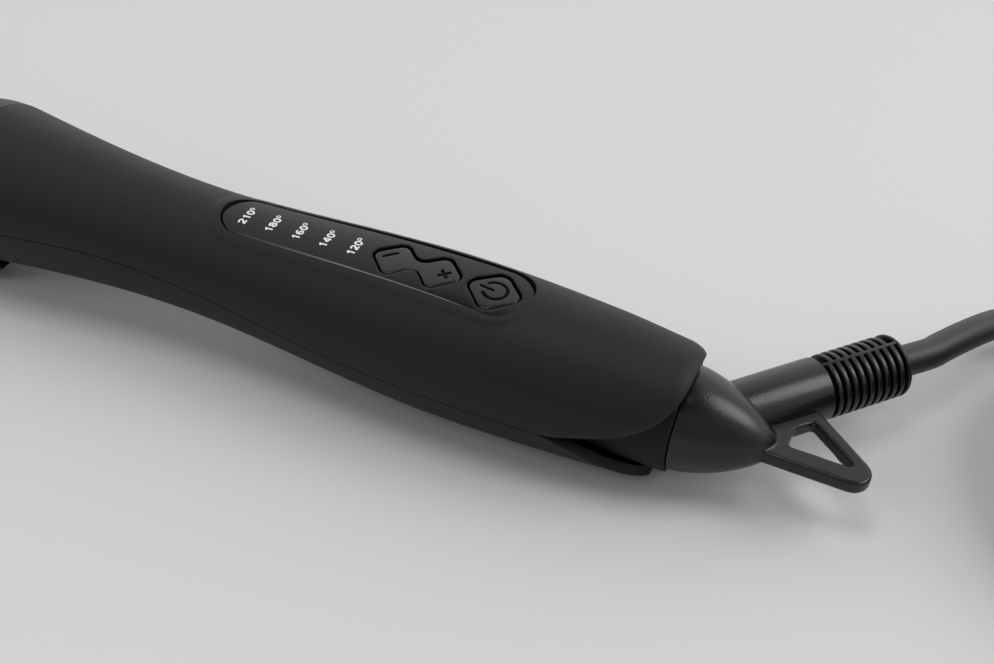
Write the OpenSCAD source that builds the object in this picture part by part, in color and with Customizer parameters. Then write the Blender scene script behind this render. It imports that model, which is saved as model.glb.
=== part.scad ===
// Conical curling wand with a swivel cord, lying on its flip-out rest.
// Local wand frame: u runs along the axis towards the cord, from the front edge of the handle shells.
// World frame: z = 0 is the table, x runs along the wand, the origin is under the middle of the tool.

/* [Pose] */
// Nose-up tilt of the wand on its rest, degrees
tilt = 2.56; // [1.5:0.1:4]

/* [Handle shells] */
// Length of the top shell along the axis
shell_l = 171; // [160:1:185]
// Radius at the front edge
front_r = 18.75; // [18:0.05:20]
// Radius at the waist
waist_r = 14.2; // [13.8:0.1:15.5]
// Distance of the waist from the front edge
waist_at = 57; // [50:1:64]
// Radius at the belly
belly_r = 17.15; // [16.5:0.05:18.5]
// Distance of the belly from the front edge
belly_at = 119; // [112:1:126]
// Radius at the rear edge
rear_r = 14.5; // [14.2:0.05:15.5]
// How fast the front flare narrows, radius per length
front_flare = 0.125; // [0.1:0.005:0.15]
// How fast the rear end narrows, radius per length
rear_taper = 0.075; // [0.05:0.005:0.09]
// Shell wall
wall = 2.2; // [1.8:0.1:2.4]
// Parting gap between the two shells
shell_gap = 0.2; // [0.1:0.05:0.4]
// Height of the parting line over the axis at the front edge
parting_front = -0.4; // [-1:0.1:0.5]
// Height of the parting line at its highest place
parting_high = 1.5; // [0.5:0.1:2]
// Distance of that highest place from the front edge
parting_high_at = 38; // [30:1:46]
// Height of the parting line behind the panel
parting_low = -2.6; // [-3.5:0.1:-1.5]
// Distance where the parting line has come down
parting_low_at = 104; // [96:1:112]
// Length of the open mouth, from where the parting line ends to the top shell's rear end
mouth_l = 27; // [25:0.5:28]
// Exponent of the top shell's rounded rear corner
mouth_roundness = 1.75; // [1.5:0.05:2.2]
// Length of the bottom shell's sloping rear edge
tongue_l = 22; // [18:0.5:24]
// Exponent of that sloping edge
tongue_curve = 1.5; // [1.2:0.1:1.8]

/* [Barrel] */
// Length of the visible front collar
collar_l = 14; // [12:0.5:18]
// Gap between the collar and the shells
collar_gap = 0.4; // [0.3:0.05:0.6]
// Radius of the collar's front edge
collar_front_r = 16.8; // [16:0.1:18]
// Length of the heated barrel
barrel_l = 140; // [120:1:160]
// Barrel radius at the collar
barrel_root_r = 12.5; // [12:0.1:12.8]
// Barrel radius at the cool tip
barrel_end_r = 6.5; // [6:0.1:8]
// Barrel wall
barrel_wall = 1.1; // [0.9:0.1:1.4]
// Radius of the flange that holds the barrel
flange_r = 14.2; // [13.8:0.1:14.3]
// Length of the cool tip
tip_l = 22; // [18:1:28]
// Radius of the cool tip where it meets the barrel
tip_r = 7.8; // [7.2:0.1:9]
// Length of the cool tip's plug inside the barrel
tip_plug_l = 10; // [6:1:14]

/* [Heater] */
// Distance from the barrel's end to the heater
heater_inset = 26; // [22:1:32]
// Length of the aluminium heat spreaders
heater_l = 92; // [80:1:92]
// Length of one ceramic element
element_l = 26; // [20:1:27]
// Width of one ceramic element
element_w = 9; // [7:0.5:10]
// Thickness of one ceramic element
element_t = 2.2; // [1.8:0.1:2.4]
// Number of ceramic elements
elements = 3; // [2:1:3]
// Thickness of the insulating mica sheet
mica_t = 0.2; // [0.1:0.05:0.3]
// Radius of the heater wires
lead_r = 0.8; // [0.6:0.05:1]
// Distance of the heater wires from the middle
lead_y = 3; // [2.4:0.1:3.4]
// Radius of the thermal fuse
fuse_r = 1.7; // [1.4:0.1:2]
// Length of the thermal fuse
fuse_l = 10; // [8:1:12]
// Radius of the thermistor bead
bead_r = 1.1; // [0.8:0.1:1.4]

/* [Panel] */
// Distance of the panel's front end from the shell's front edge
panel_at = 62.9; // [60:0.1:66]
// Length of the panel
panel_l = 72.6; // [68:0.1:75]
// Half width of the panel at its front end
panel_front_r = 5.9; // [5.5:0.1:6.5]
// Half width of the panel at its rear end
panel_rear_r = 7.45; // [7:0.05:8]
// Height of the panel's seat over the axis at its front end
panel_seat = 11.3; // [11:0.1:11.6]
// Slope of the panel against the axis, degrees
panel_rise = 1.83; // [1.4:0.05:2.2]
// How far the panel lies below the round of the shell
panel_inset = 0.3; // [0.2:0.05:0.6]
// Gap round the panel
panel_gap = 0.25; // [0.15:0.05:0.4]
// Thickness of the tray floor under the panel
tray_t = 1.4; // [1:0.1:1.6]
// Place of the first number along the panel
label_at = 5.75; // [5:0.05:7]
// Distance from number to number
label_pitch = 6.64; // [6.3:0.02:6.8]
// Count of numbers
labels = 5; // [4:1:5]

/* [Buttons] */
// Place of the rocker's middle along the panel
rocker_at = 46.7; // [46:0.1:47.2]
// Distance of a lobe's middle from the rocker's middle
lobe_at = 4.6; // [4.2:0.1:4.8]
// Side of a lobe before its corners are rounded
lobe_side = 8.24; // [7.6:0.02:8.4]
// Corner radius of a lobe
lobe_corner = 1.4; // [1:0.1:2]
// Place of the power button's middle along the panel
power_at = 64.3; // [64:0.1:64.8]
// Side of the power button before its corners are rounded
power_side = 8.9; // [8.2:0.05:9.2]
// Corner radius of the power button
power_corner = 1.6; // [1.2:0.1:2.2]
// Gap round a button
button_gap = 0.5; // [0.4:0.05:0.55]
// How far a button lies below the panel's surface
button_inset = 0.15; // [0.1:0.05:0.3]
// Travel of the power button
power_travel = 0.4; // [0.3:0.05:0.4]
// Radius of the rocker's axle
axle_r = 0.6; // [0.5:0.05:0.7]
// Length of the rocker's axle
axle_l = 7.4; // [6:0.2:8]
// Radial running clearance of pins in their bores
run_clear = 0.05; // [0.03:0.01:0.08]

/* [Circuit board] */
// Distance from the panel's seat down to the board
board_drop = 8.2; // [8:0.1:8.6]
// Thickness of the board
board_t = 1.6; // [1.2:0.1:1.8]
// Width of the board
board_w = 18; // [17:0.5:19]
// Length of the board in front of the panel's front end
board_front = 16; // [13:1:18]
// Length of the board from the panel's front end to the rear
board_rear = 72; // [71:0.5:73]
// Side of a switch body
switch_side = 6; // [5.6:0.1:6.2]
// Height of a switch body
switch_h = 3.5; // [3.2:0.1:3.6]
// Radius of a switch plunger
plunger_r = 1.75; // [1.4:0.05:2]
// Gap between a button's stem and its plunger at rest
stem_gap = 0.5; // [0.45:0.05:0.6]
// Height of a plunger over its switch body
plunger_h = 1.5; // [1.3:0.1:1.6]

/* [Shell screws] */
// Distance of the front pair from the shell's front edge
screw_front_at = 25; // [22:1:28]
// Distance of the front pair from the middle
screw_front_y = 9; // [8.5:0.1:9.4]
// Distance of the rear screw in front of the mouth
screw_rear_set = 5; // [4.8:0.1:5.1]
// Radius of a screw's shank
screw_r = 1.2; // [1:0.1:1.4]
// Radius of a screw's head
screw_head_r = 2.5; // [2.2:0.1:2.6]
// Thickness of a screw's head
screw_head_t = 2; // [1.6:0.1:2.4]
// Radius of the posts that hold the screws
post_r = 4.2; // [4:0.1:4.4]

/* [Swivel] */
// How far the swivel's axis lies below the shells' axis
swivel_drop = 0.7; // [0.4:0.05:0.8]
// Radius of the fixed neck
neck_r = 11.6; // [11.2:0.1:11.7]
// Radius of the neck's front lip
neck_lip_r = 12.7; // [12.4:0.1:12.9]
// Length of the neck
neck_l = 25.3; // [24.5:0.1:25.3]
// Distance of the neck's front end behind the start of the mouth
neck_set = 0.5; // [0.2:0.1:0.8]
// Gap between the neck and the turning cap
cap_gap = 0.3; // [0.2:0.05:0.5]
// Radius of the cap where it meets the neck
cap_r = 10.9; // [10.6:0.1:11.2]
// Length of the cap
cap_l = 18.2; // [17.4:0.1:19]
// Exponent of the cap's pointed round
cap_roundness = 1.5; // [1.4:0.05:1.7]
// Radius of the spindle in the neck
spindle_r = 6.55; // [6:0.05:6.8]
// Radius of the slip rings
ring_r = 5.8; // [5.4:0.1:6]
// Length of a slip ring
ring_l = 3; // [2.4:0.1:3.4]

/* [Hanging loop] */
// Thickness of the loop plate
loop_t = 3; // [2.6:0.1:3.4]
// Distance of the loop's far end behind the cap's point
loop_reach = 18; // [17:0.1:20]
// Radius of the loop's far corner
loop_corner = 3.6; // [3.2:0.1:4]
// Width of the arm that runs along the wand
loop_arm = 4.2; // [3.8:0.1:4.4]
// Width of the arm that runs across
loop_cross = 2.6; // [2.4:0.1:3]

/* [Strain relief] */
// Heading of the strain relief away from the axis, degrees
relief_heading = 48.7; // [46:0.1:51]
// Distance of the strain relief's origin behind the cap's front face
relief_set = 3.2; // [3:0.1:3.6]
// Radius of the strain relief
relief_r = 6.7; // [6.4:0.05:6.9]
// Distance from that origin to the first groove
relief_plain = 26.9; // [26:0.1:28]
// Number of grooves on one side
grooves = 10; // [8:1:12]
// Distance from groove to groove
groove_pitch = 2.02; // [1.8:0.02:2.1]
// Width of a groove
groove_w = 0.9; // [0.7:0.05:1.1]
// Depth of a groove
groove_d = 1.7; // [1.2:0.1:2]
// Length of the plain end collar
relief_end = 1.8; // [1.7:0.1:5]

/* [Rest] */
// Distance of the hinge in front of the shells' front edge
rest_hinge_at = 6; // [5.6:0.1:6.4]
// Height of the hinge over the table
rest_hinge_z = 2.15; // [2.1:0.01:2.2]
// Radius of the hinge knuckle
knuckle_r = 1.85; // [1.8:0.01:1.9]
// Width of the rest between the ears
rest_w = 18; // [16:0.5:20]
// Length of the rest from its hinge
rest_l = 30; // [26:1:36]
// Thickness of the rest plate
rest_t = 2.1; // [1.8:0.1:2.2]
// Height of the rubber pads
pad_h = 1.6; // [1.4:0.05:1.7]
// Radius of the rubber pads
pad_r = 3; // [2.5:0.1:3.5]
// Radius of the rest's pin
pin_r = 0.8; // [0.7:0.05:0.9]
// Thickness of an ear
ear_t = 2.7; // [2.2:0.1:3]

/* [Cord] */
// Diameter of the cord
cord_d = 6.1; // [5.8:0.1:6.4]
// Radius of the coil at the middle of its turns
coil_r = 33.5; // [31:0.5:36]
// Distance from turn to turn
coil_pitch = 6.7; // [6.7:0.05:7]
// Turns in one layer of the coil
coil_turns = 2.5; // [2.5:1:2.5]
// Layers of the coil
coil_layers = 4; // [2:2:4]
// Part of the last turn that is left off where the tail goes
coil_left_off = 0.514; // [0.4:0.002:0.6]
// Thickness of the strap that holds the coil
tie_t = 1.2; // [1:0.1:1.5]
// Width of that strap
tie_w = 12; // [8:1:14]

/* [Plug] */
// Width of the plug's body
plug_w = 35; // [33:0.5:36]
// Thickness of the plug's body
plug_t = 13.7; // [13:0.1:14]
// Length of the plug's body
plug_l = 32; // [28:1:36]
// Radius of a contact pin
contact_r = 2; // [1.9:0.05:2.1]
// Length of a contact pin
contact_l = 19; // [18:0.5:19.5]
// Distance from pin to pin
contact_pitch = 18.6; // [17.5:0.1:19.2]
// Length of the insulating sleeve on a pin
sleeve_l = 10; // [8:0.5:11]
// Radius of that sleeve
sleeve_r = 1.7; // [1.6:0.05:1.75]

/* [Hidden] */
$fn = 96;

// Clearance between pieces that only lie next to each other
air = 0.3;
// Clearance of a piece that is seated in another
seat_clear = 0.05;
step_u = 4;
// Length that takes a cut or a blank well past the handle's outside
far = 2 * front_r;
mouth_at = shell_l - mouth_l;
neck_at = mouth_at + neck_set;
neck_end = neck_at + neck_l;
cap_at = neck_end + cap_gap;
relief_at = cap_at + relief_set;
loop_end = cap_at + cap_l + loop_reach;
screw_rear_at = mouth_at - screw_rear_set;

function hermite(t, a, b, ma, mb) =
    (2 * t^3 - 3 * t^2 + 1) * a + (t^3 - 2 * t^2 + t) * ma + (3 * t^2 - 2 * t^3) * b + (t^3 - t^2) * mb;
function ease(t) = 3 * t^2 - 2 * t^3;
function clamp(v, low, high) = max(low, min(high, v));

// Radius of the handle's outside at a distance u from its front edge
function grip_r(u) = u < waist_at
    ? hermite(u / waist_at, front_r, waist_r, -front_flare * waist_at, 0)
    : u < belly_at
        ? hermite((u - waist_at) / (belly_at - waist_at), waist_r, belly_r, 0, 0)
        : let (rest = shell_l - belly_at)
            hermite((u - belly_at) / rest, belly_r, rear_r, 0, -rear_taper * rest);

// Height of the parting line over the axis
function parting_w(u) = u < parting_high_at
    ? parting_front + (parting_high - parting_front) * ease(clamp(u / parting_high_at, 0, 1))
    : parting_high + (parting_low - parting_high)
        * ease(clamp((u - parting_high_at) / (parting_low_at - parting_high_at), 0, 1));

// The axis stands so high that the lowest point of the belly touches the table
grip_u = [for (k = [0 : 100]) k * shell_l / 100];
wand_z = max([for (u = grip_u) if (u > belly_at - 20 && u < mouth_at) u * sin(tilt) + grip_r(u) * cos(tilt)]);
front_reach = collar_l + collar_gap + barrel_l + tip_l;
wand_x = (front_reach - loop_end) / 2 * cos(tilt);

module wand() {
    translate([wand_x, 0, wand_z]) rotate([0, tilt, 0]) children();
}
module swivel_axis() {
    wand() translate([0, 0, -swivel_drop]) children();
}
// Solid of revolution about the wand's axis, from [u, radius] pairs
module lathe(outline) {
    rotate([0, 90, 0]) rotate_extrude() polygon([for (p = outline) [p[1], p[0]]]);
}
module ring(from, to, outer, inner) {
    lathe([[from, inner], [from, outer], [to, outer], [to, inner]]);
}
module rod(from, to, r) {
    translate([from, 0, 0]) rotate([0, 90, 0]) cylinder(h = to - from, r = r);
}
module grip_solid(inset, from, to) {
    count = ceil((to - from) / step_u);
    stations = [for (k = [0 : count]) from + (to - from) * k / count];
    lathe(concat([[from, 0]], [for (u = stations) [u, grip_r(clamp(u, 0, shell_l)) - inset]], [[to, 0]]));
}
// Prism across the wand with a side view of [u, w] points
module side_prism(outline, half) {
    translate([0, half, 0]) rotate([90, 0, 0]) linear_extrude(2 * half) polygon(outline);
}
parting_u = [for (k = [0 : 24]) mouth_at * k / 24];
mouth_a = shell_l - mouth_at;
mouth_top = rear_r + air;
mouth_b = mouth_top - parting_low;
// The top shell's rear corner is a rounded quarter, a little fuller than an ellipse
mouth_curve = [for (k = [1 : 17]) let (a = 5 * k) [
    mouth_at + mouth_a * sin(a)^(2 / mouth_roundness),
    mouth_top - mouth_b * cos(a)^(2 / mouth_roundness)]];
module above_parting() {
    line = concat([[-1, parting_front + shell_gap / 2]],
        [for (u = parting_u) [u, parting_w(u) + shell_gap / 2]]);
    side_prism(concat(line, mouth_curve, [[shell_l, mouth_top], [shell_l, far], [-1, far]]), far);
}
tongue_end = mouth_at + tongue_l;
tongue_curve_points = [for (k = [1 : 12]) let (t = k / 12) [
    mouth_at + tongue_l * t,
    parting_low - shell_gap / 2 - (rear_r + parting_low) * t^tongue_curve]];
module below_parting() {
    line = concat([[-1, parting_front - shell_gap / 2]],
        [for (u = parting_u) [u, parting_w(u) - shell_gap / 2]]);
    side_prism(concat(line, tongue_curve_points, [[tongue_end, -far], [-1, -far]]), far);
}

// The shells grip the collar and the neck between these ribs
collar_neck_r = 15.2;
collar_lip_r = 15.7;
collar_lip_from = 3.5;
collar_lip_to = 5.2;
seat_rib_from = collar_lip_to + air;
seat_rib_t = 1.6;
neck_rib_from = neck_at + 2.5 + seat_clear;
neck_rib_t = 1.8;
module shell_ribs() {
    ring(0, collar_lip_from - air, grip_r(2) - wall / 2, collar_neck_r + seat_clear);
    ring(seat_rib_from, seat_rib_from + seat_rib_t, grip_r(6) - wall / 2, flange_r - 2.4);
    translate([0, 0, -swivel_drop]) ring(neck_rib_from, neck_rib_from + neck_rib_t,
        grip_r(neck_rib_from) - wall / 2 - swivel_drop, neck_r + seat_clear);
}
screw_places = [[screw_front_at, screw_front_y], [screw_front_at, -screw_front_y], [screw_rear_at, 0]];
function head_seat(place) = place[1] == 0 ? -8 : -6;
screw_up = 7;
module at_screws() {
    for (place = screw_places) translate([place[0], place[1], 0]) children();
}

// Panel frame: p along the panel, q across, h up from the panel's seat
module panel_frame() {
    translate([panel_at, 0, panel_seat]) rotate([0, -panel_rise, 0]) children();
}
// Long outline with a round end at each end, the rear one wider
module panel_shape(grow) {
    arc = [for (k = [0 : 24]) 90 + k * 7.5];
    front = [for (a = arc)
        [panel_front_r + (panel_front_r + grow) * cos(a), (panel_front_r + grow) * sin(a)]];
    rear = [for (a = arc)
        [panel_l - panel_rear_r - (panel_rear_r + grow) * cos(a), -(panel_rear_r + grow) * sin(a)]];
    polygon(concat(front, rear));
}
module rounded_square(side, corner) {
    square([side, side - 2 * corner], center = true);
    square([side - 2 * corner, side], center = true);
    for (x = [-1, 1], y = [-1, 1])
        translate([x, y] * (side / 2 - corner)) circle(corner);
}
module rocker_shape(grow) {
    for (way = [-1, 1]) translate([way * lobe_at, 0]) rotate(45)
        rounded_square(lobe_side + 2 * grow, lobe_corner + grow);
    square([2.4, 2 * (1.65 + grow)], center = true);
}
module power_shape(grow) {
    rotate(45) rounded_square(power_side + 2 * grow, power_corner + grow);
}
function label_p(k) = label_at + label_pitch * k;
window_l = 4.2;
window_w = 7;
rocker_web = [3, 3.2];
stem_r = 1.3;
power_stem_r = 1.5;
axle_h = 0.1 - tray_t;
lug_t = axle_l / 2 - rocker_web[1] / 2 - air;
lug_h = axle_r + 0.9;
lug_l = 3.6;
board_hole_q = 6.2;
board_holes = [for (p = [5 - board_front, board_rear - 2.2], way = [1, -1]) [p, way * board_hole_q]];
board_screw_r = 0.85;
board_screw_up = 4.5;
boss_r = 2.1;
switch_places = [rocker_at - lobe_at, rocker_at + lobe_at, power_at];
plunger_top = -board_drop + switch_h + plunger_h;
stem_end = plunger_top + stem_gap;

module tray() {
    intersection() {
        grip_solid(wall / 2, panel_at - board_front, mouth_at);
        panel_frame() translate([0, 0, -tray_t]) linear_extrude(far) panel_shape(panel_gap + tray_t);
    }
}
module tray_openings() {
    panel_frame() {
        linear_extrude(far) panel_shape(panel_gap);
        for (k = [0 : labels - 1]) translate([label_p(k), 0, -tray_t / 2])
            cube([window_l, window_w, 2 * tray_t], center = true);
        translate([rocker_at, 0, -tray_t / 2])
            cube([rocker_web[0] + 1.2, rocker_web[1] + 2 * air, 2 * tray_t], center = true);
        translate([rocker_at, axle_l, axle_h]) rotate([90, 0, 0])
            cylinder(h = 2 * axle_l, r = axle_r + seat_clear / 2, $fn = 32);
        for (way = [-1, 1]) translate([rocker_at + way * lobe_at, 0, -2 * tray_t])
            cylinder(h = 3 * tray_t, r = stem_r + 0.6);
        translate([power_at, 0, -2 * tray_t]) cylinder(h = 3 * tray_t, r = power_stem_r + 0.5);
    }
}
module axle_lugs() {
    panel_frame() for (way = [-1, 1])
        translate([rocker_at - lug_l / 2, way * (axle_l / 2 - lug_t / 2) - lug_t / 2, axle_h - lug_h])
            cube([lug_l, lug_t, lug_h - axle_h - tray_t / 2]);
}
module board_bosses() {
    intersection() {
        grip_solid(wall / 2, panel_at - board_front, mouth_at);
        panel_frame() for (place = board_holes) translate([place[0], place[1], -board_drop]) difference() {
            cylinder(h = far, r = boss_r, $fn = 32);
            translate([0, 0, -1])
                cylinder(h = board_screw_up + 1.5, r = board_screw_r + seat_clear, $fn = 32);
        }
    }
}
module top_shell() {
    color([0.09, 0.09, 0.1]) wand() difference() {
        intersection() {
            union() {
                difference() {
                    grip_solid(0, 0, shell_l);
                    grip_solid(wall, -1, shell_l + 1);
                }
                intersection() {
                    shell_ribs();
                    grip_solid(wall / 2, 0, shell_l);
                }
                tray();
                axle_lugs();
                board_bosses();
                intersection() {
                    grip_solid(wall / 2, 0, shell_l);
                    at_screws() cylinder(h = far, r = post_r - 1.2);
                    above_parting();
                }
            }
            above_parting();
        }
        tray_openings();
        at_screws() translate([0, 0, -far])
            cylinder(h = far + screw_up + 1, r = screw_r + seat_clear, $fn = 32);
    }
}
// The rest's hinge, in the wand's frame and in the world
hinge_w = (rest_hinge_z - wand_z - rest_hinge_at * sin(tilt)) / cos(tilt);
hinge_x = wand_x - rest_hinge_at * cos(tilt) + hinge_w * sin(tilt);
ear_y = rest_w / 2 + air;
ear_reach = rest_hinge_at + 2 * knuckle_r;
module ears() {
    for (way = [-1, 1]) translate([0, way * (ear_y + ear_t / 2), 0]) {
        side_prism([[0, 1.2 - front_r * 0.78], [3.8, 1.2 - front_r * 0.78], [3.8, 2.4 - front_r],
            [1.2 - rest_hinge_at, hinge_w - knuckle_r * 0.82],
            [-rest_hinge_at - 1, hinge_w - knuckle_r * 0.9],
            [-rest_hinge_at - 1, hinge_w + 1.6], [0, hinge_w + 3.2]], ear_t / 2);
        translate([-rest_hinge_at, ear_t / 2, hinge_w]) rotate([90, 0, 0])
            cylinder(h = ear_t, r = knuckle_r);
    }
}
module bottom_shell() {
    color([0.08, 0.08, 0.09]) wand() difference() {
        intersection() {
            union() {
                difference() {
                    grip_solid(0, 0, shell_l);
                    grip_solid(wall, -1, shell_l + 1);
                }
                intersection() {
                    shell_ribs();
                    grip_solid(wall / 2, 0, shell_l);
                }
                intersection() {
                    grip_solid(wall / 2, 0, shell_l);
                    at_screws() translate([0, 0, -far]) cylinder(h = far + parting_high, r = post_r);
                }
                ears();
            }
            below_parting_with_ears();
        }
        at_screws() translate([0, 0, -far]) cylinder(h = 2 * far, r = screw_r + air, $fn = 32);
        for (place = screw_places) translate([place[0], place[1], -far])
            cylinder(h = far + head_seat(place), r = screw_head_r + air, $fn = 48);
        translate([-rest_hinge_at, far, hinge_w]) rotate([90, 0, 0])
            cylinder(h = 2 * far, r = pin_r + seat_clear / 2, $fn = 48);
    }
}
module below_parting_with_ears() {
    below_parting();
    translate([-ear_reach, -far, -far]) cube([ear_reach, 2 * far, far - 12]);
}

module collar() {
    from = -collar_gap - collar_l;
    color([0.16, 0.16, 0.17]) wand() lathe([
        [from, barrel_root_r + air], [from, collar_front_r - 1], [from + 0.4, collar_front_r - 0.4],
        [from + 1.2, collar_front_r],
        [from + collar_l * 0.35, (collar_front_r + front_r) / 2 + 0.3], [from + collar_l * 0.7, front_r],
        [-collar_gap - 0.4, front_r + 0.05], [-collar_gap, front_r - 0.4], [-collar_gap, collar_neck_r],
        [collar_lip_from, collar_neck_r], [collar_lip_from, collar_lip_r], [collar_lip_to, collar_lip_r],
        [collar_lip_to, flange_r + air], [-1, flange_r + air], [-1, barrel_root_r + air]]);
}
barrel_root = -collar_gap - collar_l;
barrel_end = barrel_root - barrel_l;
flange_from = -0.95;
flange_t = 2;
function barrel_at(u) =
    barrel_root_r + (barrel_end_r - barrel_root_r) * clamp((barrel_root - u) / barrel_l, 0, 1);
module barrel() {
    color([0.24, 0.22, 0.24]) wand() lathe([
        [barrel_end, barrel_end_r - barrel_wall], [barrel_end, barrel_end_r], [barrel_root, barrel_root_r],
        [flange_from, barrel_root_r], [flange_from, flange_r], [flange_from + flange_t, flange_r],
        [flange_from + flange_t, barrel_root_r - barrel_wall], [barrel_root, barrel_root_r - barrel_wall]]);
}
seat_from = flange_from + flange_t + seat_clear;
seat_bore = 8.4;
module barrel_seat() {
    inner = barrel_root_r - barrel_wall - seat_clear;
    color([0.75, 0.72, 0.64]) wand() lathe([
        [-7, seat_bore], [-7, inner], [seat_from, inner], [seat_from, flange_r],
        [collar_lip_to, flange_r], [collar_lip_to, seat_bore]]);
}
module cool_tip() {
    from = barrel_end;
    nose = [for (k = [0 : 8]) let (a = 90 - k * 90 / 8)
        [from - tip_l + tip_r * 0.8 * (1 - cos(a)), tip_r * 0.82 * sin(a)]];
    color([0.1, 0.1, 0.11]) wand() lathe(concat(
        [[from + tip_plug_l, 0], [from + tip_plug_l, barrel_end_r - barrel_wall - seat_clear],
        [from, barrel_end_r - barrel_wall - seat_clear], [from, tip_r - 0.5], [from - 0.5, tip_r]],
        nose));
}
heater_from = barrel_end + heater_inset;
heater_to = heater_from + heater_l;
heater_half = element_t / 2 + mica_t + seat_clear;
module spreader(way) {
    wand() intersection() {
        lathe([[heater_from, 0], [heater_from, barrel_at(heater_from) - barrel_wall - seat_clear],
            [heater_to, barrel_at(heater_to) - barrel_wall - seat_clear], [heater_to, 0]]);
        translate([heater_from - 1, -far, way > 0 ? heater_half : -heater_half - far])
            cube([heater_l + 2, 2 * far, far]);
    }
}
module heat_spreader_upper() {
    color([0.8, 0.8, 0.82]) spreader(1);
}
module heat_spreader_lower() {
    color([0.8, 0.8, 0.82]) spreader(-1);
}
element_gap = (heater_l - elements * element_l) / (elements + 1);
module ceramic_elements() {
    color([0.55, 0.56, 0.58]) wand() for (k = [0 : elements - 1])
        translate([heater_from + element_gap + k * (element_l + element_gap), -element_w / 2, -element_t / 2])
            cube([element_l, element_w, element_t]);
}
module mica_sheets() {
    color([0.75, 0.6, 0.35]) wand() for (way = [-1, 1])
        translate([heater_from + 0.5, -element_w / 2 - 0.5, (way * (element_t + mica_t) - mica_t) / 2])
            cube([heater_l - 1, element_w + 1, mica_t]);
}
lead_to = panel_at - board_front + 6;
module heater_wires() {
    color([0.85, 0.85, 0.8]) wand() for (way = [-1, 1])
        translate([0, way * lead_y, 0]) rod(heater_to - element_gap, lead_to, lead_r);
}
fuse_at = heater_to + 10;
module thermal_fuse() {
    color([0.8, 0.8, 0.82]) wand() translate([0, lead_y, 0])
        ring(fuse_at, fuse_at + fuse_l, fuse_r, lead_r + seat_clear);
}
sense_r = 0.35;
sense_w = 3.2;
module thermistor() {
    color([0.7, 0.35, 0.15]) wand() {
        translate([heater_to + seat_clear, 0, sense_w]) rod(0, 4, bead_r);
        for (way = [-1, 1]) translate([0, way * 0.6, sense_w])
            rod(heater_to + 3.9, lead_to - 2, sense_r, $fn = 24);
    }
}

module control_panel() {
    color([0.02, 0.02, 0.025]) wand() difference() {
        intersection() {
            grip_solid(panel_inset, panel_at - wall, mouth_at);
            panel_frame() translate([0, 0, seat_clear]) linear_extrude(far) panel_shape(0);
        }
        panel_frame() {
            translate([rocker_at, 0, -1]) linear_extrude(far) rocker_shape(button_gap);
            translate([power_at, 0, -1]) linear_extrude(far) power_shape(button_gap);
            translate([power_at, 0, -1]) linear_extrude(1 + power_pocket)
                power_shape(button_gap + power_lip + 0.2);
        }
    }
}
power_pocket = 1.55;
power_lip = 0.6;
// Height of the buttons' undersides over the panel's seat at rest
rocker_rise = power_travel + 0.35;
module button_top(place) {
    intersection() {
        grip_solid(panel_inset + button_inset, panel_at - wall, mouth_at);
        panel_frame() translate([place, 0, rocker_rise]) linear_extrude(far) children();
    }
}
module rocker_button() {
    color([0.03, 0.03, 0.035]) wand() difference() {
        union() {
            button_top(rocker_at) rocker_shape(0);
            panel_frame() translate([rocker_at, 0, 0]) {
                translate([-rocker_web[0] / 2, -rocker_web[1] / 2, axle_h - lug_h])
                    cube([rocker_web[0], rocker_web[1], lug_h - axle_h + rocker_rise + 0.2]);
                for (way = [-1, 1]) translate([way * lobe_at, 0, stem_end])
                    cylinder(h = rocker_rise + 0.2 - stem_end, r = stem_r, $fn = 32);
            }
        }
        panel_frame() translate([rocker_at, axle_l, axle_h]) rotate([90, 0, 0])
            cylinder(h = 2 * axle_l, r = axle_r + run_clear, $fn = 32);
    }
}
module rocker_axle() {
    color("silver") wand() panel_frame() translate([rocker_at, axle_l / 2, axle_h]) rotate([90, 0, 0])
        cylinder(h = axle_l, r = axle_r, $fn = 32);
}
module power_button() {
    color([0.03, 0.03, 0.035]) wand() {
        button_top(power_at) power_shape(0);
        panel_frame() translate([power_at, 0, 0]) {
            translate([0, 0, rocker_rise]) linear_extrude(power_pocket - air - rocker_rise)
                power_shape(button_gap + power_lip - 0.1);
            translate([0, 0, stem_end])
                cylinder(h = rocker_rise + 0.1 - stem_end, r = power_stem_r, $fn = 32);
        }
    }
}
module circuit_board() {
    color([0.05, 0.3, 0.15]) wand() panel_frame() difference() {
        translate([-board_front, -board_w / 2, -board_drop - board_t])
            cube([board_front + board_rear, board_w, board_t]);
        for (place = board_holes) translate([place[0], place[1], -board_drop - 2 * board_t])
            cylinder(h = 3 * board_t, r = board_screw_r + 0.15, $fn = 32);
    }
}
module board_screws() {
    color("silver") wand() panel_frame() for (place = board_holes)
        translate([place[0], place[1], -board_drop - board_t]) {
            cylinder(h = board_t + board_screw_up, r = board_screw_r, $fn = 32);
            translate([0, 0, -1.2]) cylinder(h = 1.2, r = 1.6, $fn = 32);
        }
}
module key_switches() {
    color([0.3, 0.3, 0.32]) wand() panel_frame() for (p = switch_places) translate([p, 0, -board_drop]) {
        translate([-switch_side / 2, -switch_side / 2, 0]) cube([switch_side, switch_side, switch_h]);
        cylinder(h = switch_h + plunger_h, r = plunger_r, $fn = 32);
    }
}
module indicator_leds() {
    color([0.95, 0.93, 0.85]) wand() panel_frame() for (k = [0 : labels - 1])
        translate([label_p(k) - 0.8, -1.4, -board_drop]) cube([1.6, 2.8, 0.9]);
}
frame_wall = (label_pitch - window_l) / 2;
module light_frame() {
    color([0.9, 0.9, 0.9]) wand() panel_frame() difference() {
        translate([label_p(0) - label_pitch / 2, -window_w / 2 - frame_wall, -board_drop])
            cube([labels * label_pitch, window_w + 2 * frame_wall, board_drop - tray_t - seat_clear]);
        for (k = [0 : labels - 1]) translate([label_p(k) - window_l / 2, -window_w / 2, -board_drop - 1])
            cube([window_l, window_w, board_drop + 2]);
    }
}
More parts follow.
